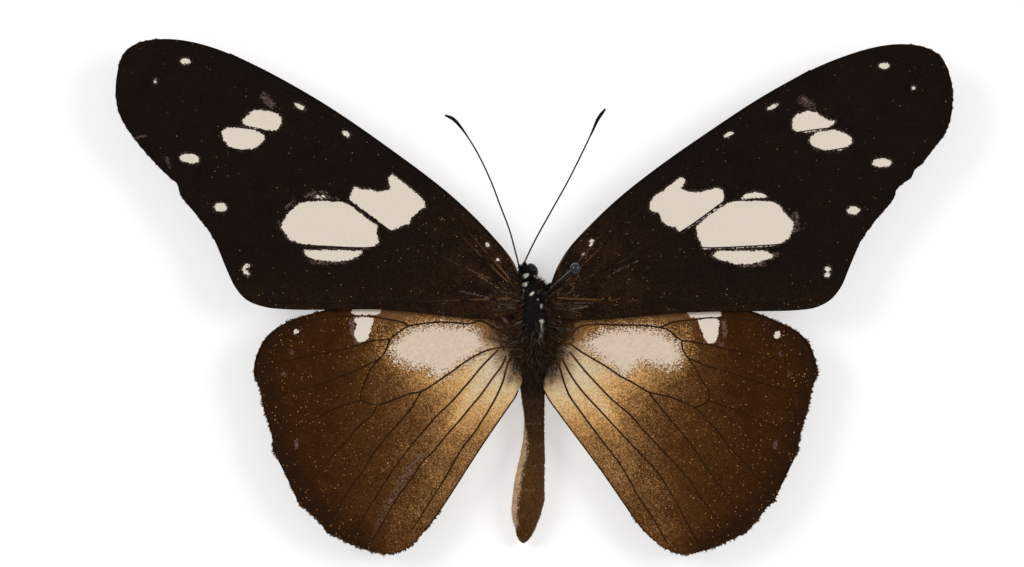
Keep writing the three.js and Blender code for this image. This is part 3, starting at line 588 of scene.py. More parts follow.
def oval(x, y, half_width, half_height, tilt):
    """A closed loop of twenty points round an oval on the sheet, turned by tilt degrees, in mm."""
    angle = np.linspace(0, 2 * np.pi, 20, endpoint=False)
    turn = np.radians(tilt)
    right, up = half_width * np.cos(angle), half_height * np.sin(angle)
    loop = np.stack([right * np.cos(turn) - up * np.sin(turn), right * np.sin(turn) + up * np.cos(turn)], 1)
    return drawn([(x, y)]) + loop / SHEET_SCALE


def rubbed(points, places):
    """Share of rubbed scales: each place is a line with a soft band round it, and the strongest counts."""
    share = np.zeros(len(points))
    for x0, y0, x1, y1, width, strength in places:
        gap = line_distance(points, drawn([(x0, y0), (x1, y1)])) * SHEET_SCALE
        share = np.maximum(share, strength * (1 - smoothstep(gap, 0.4 * width, 1.4 * width)))
    return share


def grid_quads(rows, columns, wrap):
    """Corner numbers of the quads of a grid, joined round each row where wrap is set."""
    across = np.arange(columns if wrap else columns - 1)
    row, column = np.meshgrid(np.arange(rows - 1) * columns, across, indexing="ij")
    after = (column + 1) % columns
    corners = [row + column, row + after, row + columns + after, row + columns + column]
    return np.stack(corners, axis=-1).reshape(-1, 4)


def facing_out(points, faces):
    """The faces in the order that gives a positive volume, summed over the pyramids from the zero point."""
    volume = 0
    for group in faces:
        for last in range(2, group.shape[1]):
            corners = points[group[:, [0, last - 1, last]]]
            volume += np.einsum("ij,ij->", corners[:, 0], np.cross(corners[:, 1], corners[:, 2]))
    return faces if volume > 0 else [group[:, ::-1] for group in faces]


def gather(parts):
    """Several shapes, each points, faces and marks, as one."""
    points, faces, marks = [], [], {}
    start = 0
    for part_points, part_faces, part_marks in parts:
        points.append(part_points)
        faces += [group + start for group in part_faces]
        for name, values in part_marks.items():
            marks.setdefault(name, []).append(values)
        start += len(part_points)
    return np.concatenate(points), faces, {name: np.concatenate(values) for name, values in marks.items()}


def make_piece(name, shape, finish, stands_for=()):
    """A mesh object from a shape in mm: its points move to the part's frame, its marks become attributes."""
    points, faces, marks = shape
    faces = facing_out(points, faces)
    mesh = bpy.data.meshes.new(name)
    loops = np.concatenate([group.ravel() for group in faces]).astype(np.int32)
    sizes = np.concatenate([np.full(len(group), group.shape[1]) for group in faces])
    mesh.vertices.add(len(points))
    mesh.vertices.foreach_set("co", ((points + DRAWING_ZERO) * MM).astype(np.float32).ravel())
    mesh.loops.add(len(loops))
    mesh.loops.foreach_set("vertex_index", loops)
    mesh.polygons.add(len(sizes))
    mesh.polygons.foreach_set("loop_start", (np.cumsum(sizes) - sizes).astype(np.int32))
    mesh.polygons.foreach_set("use_smooth", np.ones(len(sizes), bool))
    for mark, values in marks.items():
        mesh.attributes.new(mark, "FLOAT", "POINT").data.foreach_set("value", values.astype(np.float32))
    mesh.update(calc_edges=True)
    mesh.validate()
    mesh.materials.append(finish)
    piece = bpy.data.objects.new(name, mesh)
    bpy.context.scene.collection.objects.link(piece)
    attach(piece, "root")
    if stands_for:
        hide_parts(*stands_for)
    return piece


def sweep(path, radius, sides, up=(0.0, 0.0, 1.0)):
    """A round section carried along a path: centre plus radius times cosine sideways and sine upwards.
    Each end is closed by a fan to the path's own end point."""
    run = np.gradient(path, axis=0)
    run /= np.linalg.norm(run, axis=1, keepdims=True)
    side = np.cross(run, up)
    side /= np.linalg.norm(side, axis=1, keepdims=True)
    lift = np.cross(side, run)
    angle = np.linspace(0, 2 * np.pi, sides, endpoint=False)[:, None]
    reach = np.broadcast_to(np.asarray(radius, float).reshape(-1, 1, 1), (len(path), 1, 1))
    rings = path[:, None] + reach * (np.cos(angle) * side[:, None] + np.sin(angle) * lift[:, None])
    points = np.concatenate([rings.reshape(-1, 3), path[:1], path[-1:]])
    return points, [grid_quads(len(path), sides, True), *end_fans(len(path), sides)], {}


def end_fans(rows, sides):
    """Triangles from the first and the last ring to the two points that follow the rings."""
    here = np.arange(sides)
    after = (here + 1) % sides
    first = np.full(sides, rows * sides)
    start = np.stack([first, after, here], axis=1)
    finish = np.stack([first + 1, here + (rows - 1) * sides, after + (rows - 1) * sides], axis=1)
    return start, finish


def egg(centre, radii, rows=40, sides=56):
    """An egg in the head's axes: cosines and sines of its two angles times its radii, moved and turned."""
    height = np.linspace(-np.pi / 2, np.pi / 2, rows + 2)[1:-1, None]
    angle = np.linspace(0, 2 * np.pi, sides, endpoint=False)
    flat = np.cos(height)
    ball = np.broadcast_arrays(flat * np.cos(angle), flat * np.sin(angle), np.sin(height))
    ball = np.concatenate([np.stack(ball, axis=-1).reshape(-1, 3), [(0, 0, -1), (0, 0, 1)]])
    return from_head(ball * radii + centre), [grid_quads(rows, sides, True), *end_fans(rows, sides)], {}


def from_head(points):
    """Points given to the right, forward and above the head's centre, turned by the head's yaw."""
    points = np.asarray(points, float)
    cosine, sine = np.cos(HEAD_YAW), np.sin(HEAD_YAW)
    right, forward = points[..., 0], points[..., 1]
    turned = [right * cosine - forward * sine, right * sine + forward * cosine, points[..., 2]]
    return np.stack(turned, axis=-1) + HEAD_CENTRE


def hair_coat(roots, directions, lengths, radius, droop, marks):
    """Many hairs at once: each is a three-sided cone of two spans, from its root along its direction.
    Its middle stands at half and its tip at the whole length, and the tip sinks by the droop."""
    count = len(roots)
    directions = directions / np.linalg.norm(directions, axis=1, keepdims=True)
    side = np.cross(directions, np.where(np.abs(directions[:, 2:]) > 0.9, (1.0, 0, 0), (0, 0, 1.0)))
    side /= np.linalg.norm(side, axis=1, keepdims=True)
    lift = np.cross(side, directions)
    angle = np.arange(3)[:, None] * 2 * np.pi / 3
    ring = np.cos(angle) * side[:, None] + np.sin(angle) * lift[:, None]
    sink = np.stack([np.zeros(count), np.zeros(count), -droop * lengths], axis=1)
    middle = roots + directions * lengths[:, None] * 0.5 + sink * 0.2
    tip = roots + directions * lengths[:, None] + sink
    rings = [roots[:, None] + ring * radius, middle[:, None] + ring * radius * 0.7, tip[:, None]]
    points = np.concatenate(rings, axis=1)
    first = (np.arange(count) * 7)[:, None, None]
    quads = first + np.array([(0, 1, 4, 3), (1, 2, 5, 4), (2, 0, 3, 5)])
    tris = first + np.array([(3, 4, 6), (4, 5, 6), (5, 3, 6), (0, 2, 1)])
    repeated = {name: np.repeat(values, 7) for name, values in marks.items()}
    points[..., 2] = np.maximum(points[..., 2], FLOOR_GAP)
    return points.reshape(-1, 3), [quads.reshape(-1, 4), tris.reshape(-1, 3)], repeated


class Finish:
    """One procedural material, put together node by node."""

    def __init__(self, name, roughness, specular):
        self.material = bpy.data.materials.new(name)
        self.material.use_nodes = True
        self.tree = self.material.node_tree
        self.shader = self.tree.nodes["Principled BSDF"]
        self.shader.inputs["Roughness"].default_value = roughness
        self.shader.inputs["Specular IOR Level"].default_value = specular
        self.place = self.node("ShaderNodeTexCoord").outputs["Object"]

    def node(self, kind, **settings):
        """A new node with its settings."""
        made = self.tree.nodes.new(kind)
        for name, value in settings.items():
            setattr(made, name, value)
        return made

    def put(self, value, socket):
        """Links a socket's value, or sets it."""
        if isinstance(value, bpy.types.NodeSocket):
            self.tree.links.new(value, socket)
        elif isinstance(value, (int, float)):
            socket.default_value = value
        else:
            socket.default_value = (*value, 1.0)

    def mark(self, name):
        """The piece's own mark of that name."""
        return self.node("ShaderNodeAttribute", attribute_name=name).outputs["Fac"]

    def grain(self, size, detail=2.0):
        """Cloudy noise whose lumps measure size in mm."""
        noise = self.node("ShaderNodeTexNoise")
        self.put(self.place, noise.inputs["Vector"])
        noise.inputs["Scale"].default_value = 1 / (size * MM)
        noise.inputs["Detail"].default_value = detail
        return noise.outputs["Fac"]

    def scales(self, size):
        """One random value for each scale, size in mm."""
        cells = self.node("ShaderNodeTexVoronoi")
        self.put(self.place, cells.inputs["Vector"])
        cells.inputs["Scale"].default_value = 1 / (size * MM)
        split = self.node("ShaderNodeSeparateColor")
        self.put(cells.outputs["Color"], split.inputs[0])
        return split.outputs[0]

    def math(self, operation, first, second=0.0, third=0.0):
        """A sum, product or other sum of values."""
        made = self.node("ShaderNodeMath", operation=operation)
        for value, socket in zip((first, second, third), made.inputs):
            self.put(value, socket)
        return made.outputs[0]

    def spread(self, value, noise, amount):
        """A value plus noise about its middle times an amount."""
        return self.math("ADD", value, self.math("MULTIPLY", self.math("SUBTRACT", noise, 0.5), amount))

    def step(self, value, low, high):
        """0 at low, 1 at high and smooth between."""
        made = self.node("ShaderNodeMapRange", interpolation_type="SMOOTHSTEP")
        for name, given in (("Value", value), ("From Min", low), ("From Max", high)):
            self.put(given, made.inputs[name])
        return made.outputs[0]

    def mix(self, share, first, second):
        """First colour at share 0 and second at 1."""
        made = self.node("ShaderNodeMix", data_type="RGBA")
        self.put(share, made.inputs[0])
        self.put(first, made.inputs[6])
        self.put(second, made.inputs[7])
        return made.outputs[2]

    def shade(self, base, noise, low, high):
        """A colour made darker or lighter by noise between two factors."""
        made = self.node("ShaderNodeMix", data_type="RGBA", blend_type="MULTIPLY")
        made.inputs[0].default_value = 1.0
        self.put(base, made.inputs[6])
        self.put(self.mix(noise, (low,) * 3, (high,) * 3), made.inputs[7])
        return made.outputs[2]

    def ramp(self, value, stops):
        """A colour by value, through stops of place and colour."""
        made = self.node("ShaderNodeValToRGB")
        elements = made.color_ramp.elements
        while len(elements) < len(stops):
            elements.new(0.5)
        for element, (place, shown) in zip(elements, stops):
            element.position = place
            element.color = (*shown, 1.0)
        self.put(value, made.inputs[0])
        return made.outputs[0]

    def bump(self, height, depth, strength=1.0):
        """Raises the surface by height times depth in mm."""
        made = self.node("ShaderNodeBump")
        made.inputs["Strength"].default_value = strength
        made.inputs["Distance"].default_value = depth * MM
        self.put(height, made.inputs["Height"])
        self.put(made.outputs[0], self.shader.inputs["Normal"])

    def done(self, base):
        """Sets the base colour and gives the material."""
        self.put(base, self.shader.inputs["Base Color"])
        return self.material


def worn_off(f, scale):
    """Share of rubbed scales, broken up by scales and noise and kept inside the rubbed places."""
    broken = f.spread(scale, f.grain(0.3, 2.0), 0.8)
    worn = f.step(f.spread(f.mark("rub"), broken, 0.9), 0.25, 0.85)
    return f.math("MULTIPLY", worn, f.step(f.mark("rub"), 0.0, 0.15))


def forewing_finish(wings):
    """Near-black scales, browner towards the body, with ragged cream patches and greyish rubbed places."""
    f = Finish("forewing_scales", 0.85, 0.02)
    scale = f.scales(0.09)
    cloud = f.grain(2.2, 3.0)
    ground = f.mix(f.step(cloud, 0.35, 0.7), wings.fore_ground, tuple(0.86 * c for c in wings.fore_ground))
    browned = f.math("MULTIPLY", f.mark("base"), f.step(f.spread(cloud, scale, 0.3), 0.35, 0.62))
    ground = f.mix(browned, ground, wings.fore_brown)
    ground = f.mix(f.mark("under"), ground, wings.fore_under)
    ground = f.shade(ground, scale, 0.7, 1.3)
    speck = f.step(f.math("MULTIPLY_ADD", f.mark("base"), 0.006, f.scales(0.1)), 0.997, 1.0)
    ground = f.mix(f.math("MULTIPLY", speck, 0.32), ground, wings.gold)
    pale = f.mark("pale")
    fringe = f.step(f.spread(pale, scale, 0.42), -0.2, 0.12)
    ground = f.mix(f.math("MULTIPLY", fringe, 0.4), ground, wings.lilac)
    worn = worn_off(f, scale)
    ground = f.mix(f.math("MULTIPLY", worn, 0.75), ground, wings.lilac)
    edge = f.spread(f.spread(pale, f.grain(0.32, 2.0), 0.3), scale, 0.12)
    white = f.shade(wings.pale, f.grain(0.25, 3.0), 0.93, 1.06)
    f.bump(scale, 0.012, 0.5)
    return f.done(f.mix(f.step(edge, -0.015, 0.035), ground, white))


def hindwing_finish(wings):
    """Brown scales that lighten in loose grains to a tan and cream inner field, darker at the outer edge."""
    f = Finish("hindwing_scales", 0.85, 0.02)
    scale = f.scales(0.09)
    glow = f.mark("glow")
    band = f.math("MULTIPLY", glow, f.math("SUBTRACT", 1.0, glow))
    tone = f.spread(glow, scale, f.math("MULTIPLY_ADD", band, 0.85, 0.06))
    tone = f.spread(tone, f.grain(1.4, 3.0), 0.22)
    stops = [
        (0.0, paint(53, 29, 10)), (0.25, paint(80, 49, 22)), (0.45, paint(134, 96, 57)),
        (0.6, paint(177, 131, 78)), (0.75, paint(203, 160, 106)), (0.88, paint(209, 178, 132)),
        (1.0, paint(206, 186, 152)),
    ]
    ground = f.ramp(tone, stops)
    dark = f.step(f.spread(f.mark("rim"), f.grain(1.6, 3.0), 2.2), 3.2, 0.3)
    ground = f.mix(f.math("MULTIPLY", dark, 0.8), ground, wings.margin)
    ground = f.mix(f.mark("costal"), ground, wings.costal)
    ground = f.shade(ground, scale, 0.76, 1.25)
    fleck = f.scales(0.085)
    gold = f.step(f.math("MULTIPLY_ADD", f.mark("gold"), 0.32, fleck), 0.985, 1.0)
    shed = f.step(f.spread(f.mark("cream"), fleck, 2.6), -0.35, 0.05)
    ground = f.mix(f.math("MULTIPLY", f.math("MAXIMUM", gold, shed), 0.7), ground, wings.gold)
    loose = f.spread(f.spread(f.mark("cream"), scale, 1.15), f.grain(0.7, 2.0), 0.6)
    cream = f.shade(f.shade(wings.cream, f.grain(0.5, 3.0), 0.86, 1.12), scale, 0.9, 1.08)
    ground = f.mix(f.step(loose, -0.02, 0.1), ground, cream)
    from_edge = f.math("ABSOLUTE", f.mark("cream"))
    dotted = f.step(f.math("MULTIPLY_ADD", from_edge, -0.42, f.scales(0.1)), 0.62, 0.7)
    ground = f.mix(f.math("MULTIPLY", dotted, 0.8), ground, wings.dots)
    near = f.spread(f.spread(f.mark("root"), scale, 0.9), f.grain(0.6, 2.0), 1.4)
    ground = f.mix(f.math("MULTIPLY", f.step(near, -1.9, -0.3), 0.75), ground, wings.costal)
    ground = f.mix(f.math("MULTIPLY", f.step(near, -0.4, 0.3), 0.92), ground, wings.root)
    worn = worn_off(f, scale)
    ground = f.mix(f.math("MULTIPLY", worn, 0.7), ground, wings.lilac)
    edge = f.spread(f.spread(f.mark("pale"), f.grain(0.32, 2.0), 0.3), scale, 0.12)
    f.bump(scale, 0.012, 0.5)
    return f.done(f.mix(f.step(edge, -0.015, 0.035), ground, wings.pale))


def plain_scales(name, shown):
    """Small scales of one colour, each a little lighter or darker."""
    f = Finish(name, SCALE_ROUGHNESS, SCALE_SHINE)
    return f.done(f.shade(shown, f.scales(SCALE_SIZE), 0.7, 1.3))


def vein_tone_and_highlight_scales(name, shown, worn):
    """Small scales of one colour, turned to another in streaks where the marks say so: on the forewing veins
    the second colour is a painted highlight, on the hindwing veins their own lighter tone near the root.
    """
    f = Finish(name, SCALE_ROUGHNESS, SCALE_SHINE)
    # Share near the root, broken into streaks: painted highlight on forewing veins, own lighter tone on
    # hindwing veins
    tone_and_highlight_share = f.math("MULTIPLY", f.mark("worn"), f.step(f.grain(1.6, 3.0), 0.42, 0.58))
    return f.done(f.shade(f.mix(tone_and_highlight_share, shown, worn), f.scales(SCALE_SIZE), 0.7, 1.3))


def fur_finish(body):
    """Dark hairs and skin, with brown hairs, pale tufts and paler hairs for painted glints where the marks
    say so.
    """
    f = Finish("fur", 0.55, 0.05)
    dark = f.mix(f.mark("brown"), f.shade(body.fur, f.grain(0.35, 3.0), 0.5, 1.6), body.brown_fur)
    pale = f.shade(body.pale_fur, f.grain(0.2, 2.0), 0.8, 1.1)
    f.bump(f.grain(0.12, 3.0), 0.06, 0.8)
    return f.done(f.mix(f.mark("pale"), dark, pale))


def abdomen_finish(body):
    """Brown scales with a pale flank and belly, stippled where they meet, and pale rings at the grooves."""
    f = Finish("abdomen_scales", 0.7, 0.06)
    scale = f.scales(0.1)
    dark = f.mix(f.mark("rear"), body.abdomen, body.abdomen_rear)
    dark = f.shade(f.shade(dark, f.grain(0.9, 3.0), 0.65, 1.35), f.grain(0.22, 3.0), 0.35, 1.65)
    pale = f.shade(f.shade(body.flank, f.grain(0.7, 3.0), 0.7, 1.25), f.grain(0.22, 3.0), 0.6, 1.35)
    edge = f.spread(f.spread(f.mark("flank"), scale, 0.45), f.grain(0.5, 2.0), 0.5)
    ground = f.mix(f.step(edge, -0.16, 0.24), dark, pale)
    front = f.shade(body.abdomen_front, f.grain(0.3, 3.0), 0.35, 1.7)
    ground = f.mix(f.step(f.spread(f.mark("front"), scale, 0.35), 0.05, 0.95), ground, front)
    ring = f.math("MULTIPLY", f.math("SUBTRACT", f.mark("ring"), f.mark("front")), f.step(scale, 0.35, 0.7))
    ground = f.mix(f.math("MAXIMUM", f.math("MULTIPLY", ring, 0.3), 0.0), ground, paint(150, 118, 84))
    f.bump(f.grain(0.12, 2.0), 0.03, 0.6)
    return f.done(f.shade(ground, scale, 0.68, 1.32))


def eye_finish(body):
    """Glossy facets."""
    f = Finish("compound_eye", 0.24, 0.12)
    f.bump(f.scales(0.05), 0.012, 0.5)
    return f.done(f.shade(body.eye, f.grain(0.4, 2.0), 0.7, 1.5))


def cuticle_finish(body):
    """Brown horn with fine rings of scales."""
    f = Finish("cuticle", 0.55, 0.08)
    return f.done(f.shade(body.cuticle, f.grain(0.15, 3.0), 0.55, 1.5))


def enamel_finish(name, shown):
    """Smooth dark enamel with faint wear."""
    f = Finish(name, 0.2, 0.35)
    f.put(f.ramp(f.grain(0.5, 3.0), [(0.3, (0.12,) * 3), (0.8, (0.34,) * 3)]), f.shader.inputs["Roughness"])
    return f.done(f.shade(shown, f.grain(0.6, 3.0), 0.8, 1.25))


def wing_height(points, hinge_height, droop):
    """Height of a wing's middle: the hinge, plus a rise by the sine of the span's share, less the fall."""
    rise = WING_RISE * np.sin(np.pi / 2 * np.minimum(1, np.abs(points[:, 0]) / HALF_SPAN))
    fall = droop * np.maximum(0, (DROOP_START - points[:, 1]) / DROOP_LENGTH) ** 2
    return hinge_height + rise - fall


def wing_kinds():
    """The four wings: name, side, edges, veins in mm, hinge height and droop."""
    for side in SIDES:
        turn, shift = (1, 0) if side == "left" else (-1, FOREWING_VEIN_MIRROR)
        veins = [drawn(np.array(vein) * (turn, 1) + (shift, 0)) for vein in FOREWING_VEINS_LEFT]
        yield "forewing", side, FOREWING_EDGES[side], veins, FOREWING_HEIGHT, 0.0
        veins = [drawn(vein) for vein in HINDWING_VEINS[side]]
        yield "hindwing", side, HINDWING_EDGES[side], veins, HINDWING_HEIGHT, HINDWING_DROOP


def wing_marks(kind, side, flat, edges):
    """Marks of a wing at flat points: distances into its patches and to its outer edge, and shares of tones.
    The inner field's tone falls by one step of its tones for each of its rings that a point has passed."""
    if kind == "forewing":
        loops = FOREWING_PATCHES[side] + [oval(*spot) for spot in FOREWING_SPOTS[side]]
        root = np.hypot(flat[:, 0], flat[:, 1] + 1)
        return {
            "pale": np.max([inside_distance(flat, loop) for loop in loops], axis=0),
            "rub": rubbed(flat, FOREWING_RUBS[side]),
            "base": np.maximum(1 - smoothstep(root, 3, 20), 0.55 * (1 - smoothstep(flat[:, 1], -1.5, 4))),
        }
    loops = HINDWING_PATCHES[side] + [oval(*spot) for spot in HINDWING_SPOTS[side]]
    outward = (flat - drawn(GLOW_CENTRE[side])) * (SIDES[side], -1)
    angle = np.degrees(np.arctan2(outward[:, 1], outward[:, 0]))
    rings = [np.interp(angle, GLOW_ANGLE, ring) for ring in GLOW_REACH]
    gone = np.hypot(*outward.T)
    passed = [np.clip((gone - near) / (far - near), 0, 1) for near, far in zip(rings, rings[1:])]
    glow = GLOW_TONES[0] + np.diff(GLOW_TONES) @ np.array(passed)
    rim = np.concatenate([smooth_line(edges[0], 160)[90:], smooth_line(edges[1], 160)[:108:-1]])
    return {
        "pale": np.max([inside_distance(flat, loop) for loop in loops], axis=0),
        "cream": inside_distance(flat, HINDWING_CREAM[side]),
        "rub": rubbed(flat, HINDWING_RUBS[side]),
        "gold": rubbed(flat, GOLD_DUST[side]),
        "glow": glow,
        "root": inside_distance(flat, drawn(HINDWING_ROOTS[side])),
        "rim": line_distance(flat, rim),
        "costal": smoothstep(flat[:, 1], -2.9, -2.0) * (1 - smoothstep(np.abs(flat[:, 0]), 13, 20)) * 0.9,
    }


def wing_sheet(kind, side, edges, veins, hinge_height, droop, wings):
    """A closed thin sheet: its points run straight from the leading to the trailing edge, row by row.
    Both faces stand half a thickness from the middle, less at the rim, with a low ridge along the veins."""
    rows, columns = wings.rows, wings.columns
    lead, trail = (smooth_line(edge, rows + 1)[:-1] for edge in edges)
    across = np.linspace(0, 1, columns)
    flat = (lead[:, None] * (1 - across)[:, None] + trail[:, None] * across[:, None]).reshape(-1, 2)
    gap = np.min([line_distance(flat, smooth_line(vein, 24)) for vein in veins], axis=0)
    height = wing_height(flat, hinge_height, droop) + VEIN_RIDGE * np.exp(-((gap / VEIN_RIDGE_WIDTH) ** 2))
    rim = np.minimum(across, 1 - across) / 0.02
    half = np.tile(wings.thickness / 2 * np.clip(rim, 0.25, 1), rows)
    upper = np.column_stack([flat, height + half]).reshape(rows, columns, 3)
    lower = np.column_stack([flat, height - half]).reshape(rows, columns, 3)[:, ::-1]
    points = np.concatenate([upper, lower], axis=1).reshape(-1, 3)
    here = np.arange(columns - 1)
    strip = np.stack([here, here + 1, 2 * columns - 2 - here, 2 * columns - 1 - here], axis=1)
    faces = [grid_quads(rows, 2 * columns, True), strip[:, ::-1], strip + (rows - 1) * 2 * columns]
    marks = {}
    for name, values in wing_marks(kind, side, flat, edges).items():
        table = values.reshape(rows, columns)
        marks[name] = np.concatenate([table, table[:, ::-1]], axis=1).ravel()
    marks["under"] = np.tile(np.repeat([0.0, 1.0], columns), rows)
    return points, faces, marks


def wing_veins(kind, edges, veins, hinge_height, droop, wings):
    """Tubes along the veins, the leading edge and the hindwing's inner edge, thinner towards the rim."""
    borders = [(edges[0][: 2 * len(edges[0]) // 3], 1)]
    if kind == "hindwing":
        borders.append((edges[1][1:INNER_EDGE_END], 0.6))
    parts = []
    for vein, share in [*((vein, 1) for vein in veins), *borders]:
        line = smooth_line(vein, 60)
        reach = np.hypot(line[:, 0], line[:, 1] + 3)
        radius = wings.vein_root + (wings.vein_tip - wings.vein_root) * smoothstep(reach, 4, 26)
        radius *= share
        height = wing_height(line, hinge_height, droop) + VEIN_RIDGE + VEIN_LIFT
        parts.append(sweep(np.column_stack([line, height]), radius, 6))
    points, faces, _ = gather(parts)
    # The worn mark is 1 near the root and 0 further out: on the forewing veins it places a painted
    # highlight, on the hindwing veins their own lighter tone
    return points, faces, {"worn": 1 - smoothstep(np.hypot(points[:, 0], points[:, 1] + 3), 4, 14)}


def edge_fringe(kind, edges, hinge_height, droop, wings, rng):
    """Small pointed scales along the outer edge, standing away from the wing, in uneven clumps."""
    parts = []
    for edge, first, turn in zip(edges, FRINGE_START[kind], (1, -1)):
        line = smooth_line(edge, FRINGE_STEPS)
        start = int(FRINGE_STEPS * first)
        run = np.gradient(line, axis=0)[start:]
        line = line[start:]
        away = np.column_stack([run[:, 1], -run[:, 0]]) * turn * (-1 if line[0, 0] > 0 else 1)
        away /= np.linalg.norm(away, axis=1, keepdims=True)
        count = len(line)
        knots = np.arange(0, count + CLUMP_STEP, CLUMP_STEP)
        clump = np.interp(np.arange(count), knots, rng.uniform(0.1, 1.25, len(knots)))
        lengths = wings.fringe * clump * rng.uniform(0.6, 1.3, count) * FRINGE_SHARE[kind]
        lean = away + rng.normal(0, 0.28, (count, 2))
        roots = np.column_stack([line - away * 0.05, wing_height(line, hinge_height, droop)])
        direction = np.column_stack([lean, rng.normal(0, 0.12, count)])
        parts.append(hair_coat(roots, direction, lengths, FRINGE_RADIUS, 0, {}))
    return gather(parts)


def oval_body(stations, rows, sides, round_share, grooves=()):
    """An oval carried along stations: centre plus half width times cosine and half height times sine.
    Both ends close in a quarter circle, grooves cross it, and nothing goes below the floor."""
    line = smooth_line(stations, rows)
    share = np.linspace(0, 1, rows)
    end = np.clip(np.minimum(share, 1 - share) / round_share, 0, 1)
    cap = np.sqrt(np.maximum(1e-4, 1 - (1 - end) ** 2))
    gaps = np.abs(line[:, :1] - np.array([*grooves, np.inf]))
    groove = np.exp(-((gaps.min(1) / GROOVE_WIDTH) ** 2))
    cap = (cap * (1 - GROOVE_DEPTH * groove))[:, None]
    angle = np.linspace(0, 2 * np.pi, sides, endpoint=False)
    y, x, width, z, height = (column[:, None] for column in line.T)
    up = np.maximum(FLOOR_GAP, z + height * cap * np.sin(angle))
    rings = np.stack(np.broadcast_arrays(x + width * cap * np.cos(angle), y, up), axis=-1)
    tips = np.stack([line[[0, -1], 1], line[[0, -1], 0], line[[0, -1], 3]], axis=1)
    points = np.concatenate([rings.reshape(-1, 3), tips])
    return points, [grid_quads(rows, sides, True), *end_fans(rows, sides)], np.repeat(groove, sides)


def body_pale(points):
    """Share of pale scales on the head and thorax: each spot counts by its strength inside its oval."""
    share = np.zeros(len(points))
    for *spot, strength in BODY_SPOTS:
        inside = inside_distance(points[:, :2], oval(*spot))
        share = np.maximum(share, strength * smoothstep(inside, -0.04, 0.03))
    return share * (points[:, 2] > 2.6)


def station_at(stations, places):
    """Centre x, half width, centre z and half height of a body at places along Y."""
    table = np.asarray(stations, float)[::-1]
    return [np.interp(places, table[:, 0], table[:, column]) for column in range(1, 5)]


def scatter_on_body(stations, count, front, rear, low, high, rng):
    """Random roots on an oval body between two places and two angles, and the direction straight out."""
    y = rng.uniform(rear, front, count)
    angle = np.radians(rng.uniform(low, high, count))
    x, width, z, height = station_at(stations, y)
    roots = np.stack([x + width * np.cos(angle), y, z + height * np.sin(angle)], axis=1)
    out = np.stack([np.cos(angle) / width, np.zeros(count), np.sin(angle) / height], axis=1)
    return roots, out / np.linalg.norm(out, axis=1, keepdims=True)


class SpecimenOperator:
    """What the operators share: each builds its pieces."""

    bl_options = {"REGISTER", "UNDO"}

    def execute(self, context):
        self.build(context.scene, np.random.default_rng(SEED))
        return {"FINISHED"}


class SPECIMEN_OT_wings(SpecimenOperator, bpy.types.Operator):
    """Build the four wing sheets with their patches"""

    bl_idname = "specimen.wings"
    bl_label = "Wings"

    def build(self, scene, rng):
        wings = scene.specimen_wings
        finishes = {"forewing": forewing_finish(wings), "hindwing": hindwing_finish(wings)}
        for kind, side, edges, veins, height, droop in wing_kinds():
            shape = wing_sheet(kind, side, edges, veins, height, droop, wings)
            node = f"{side}_{kind}"
            make_piece(node + "_sheet", shape, finishes[kind], [node])


class SPECIMEN_OT_veins(SpecimenOperator, bpy.types.Operator):
    """Build the wing veins"""

    bl_idname = "specimen.veins"
    bl_label = "Veins"

    def build(self, scene, rng):
        wings = scene.specimen_wings
        finishes = {
            # Forewing veins get a painted highlight near the root; hindwing veins are their own lighter tone
            # there
            "forewing": vein_tone_and_highlight_scales("forewing_veins", wings.fore_ground, wings.painted_vein_highlight),
            "hindwing": vein_tone_and_highlight_scales("hindwing_veins", wings.outer_vein, wings.vein),
        }
        for kind, side, edges, veins, height, droop in wing_kinds():
            shape = wing_veins(kind, edges, veins, height, droop, wings)
            make_piece(f"{side}_{kind}_veins", shape, finishes[kind])


class SPECIMEN_OT_fringe(SpecimenOperator, bpy.types.Operator):
    """Build the fringe of scales along the outer wing edges"""

    bl_idname = "specimen.fringe"
    bl_label = "Fringe"

    def build(self, scene, rng):
        wings = scene.specimen_wings
        finishes = {
            "forewing": plain_scales("forewing_fringe", wings.fore_brown),
            "hindwing": plain_scales("hindwing_fringe", wings.fringe_tone),
        }
        for kind, side, edges, _, height, droop in wing_kinds():
            shape = edge_fringe(kind, edges, height, droop, wings, rng)
            make_piece(f"{side}_{kind}_fringe", shape, finishes[kind])


class SPECIMEN_OT_body(SpecimenOperator, bpy.types.Operator):
    """Build the thorax, the abdomen and the head"""

    bl_idname = "specimen.body"
    bl_label = "Body"

    def build(self, scene, rng):
        body = scene.specimen_body
        fur = fur_finish(body)
        points, faces, _ = oval_body(THORAX, 120, 80, 0.05)
        make_piece("thorax_skin", (points, faces, {"pale": body_pale(points)}), fur, ["thorax"])
        points, faces, _ = egg((0, 0, 0), HEAD_RADII)
        make_piece("head_skin", (points, faces, {"pale": body_pale(points)}), fur, ["head"])
        points, faces, groove = oval_body(ABDOMEN, 240, 64, 0.035, ABDOMEN_GROOVES)
        marks = self.skin_marks(points)
        marks["ring"] = np.append(groove, [0, 0])
        shape = (points, faces, marks)
        make_piece("abdomen_skin", shape, abdomen_finish(body), ["abdomen"])

    @staticmethod
    def skin_marks(points):
        """Marks of the abdomen: the distance into its pale flank, which is the angle past the flank's start
        times the half width, the share of dark fur at its front and the share of its rear tone."""
        x, width, z, height = station_at(ABDOMEN, points[:, 1])
        angle = np.degrees(np.arctan2((points[:, 2] - z) / height, (points[:, 0] - x) / width)) % 360
        start = np.interp(points[:, 1], FLANK_PLACE, FLANK_START)
        flank = np.radians(np.minimum(angle - start, FLANK_END - angle)) * width
        return {
            "flank": flank,
            "front": smoothstep(points[:, 1], -11.4, -8.6),
            "rear": smoothstep(-points[:, 1], 9, 21),
            "ring": np.zeros(len(points)),
        }


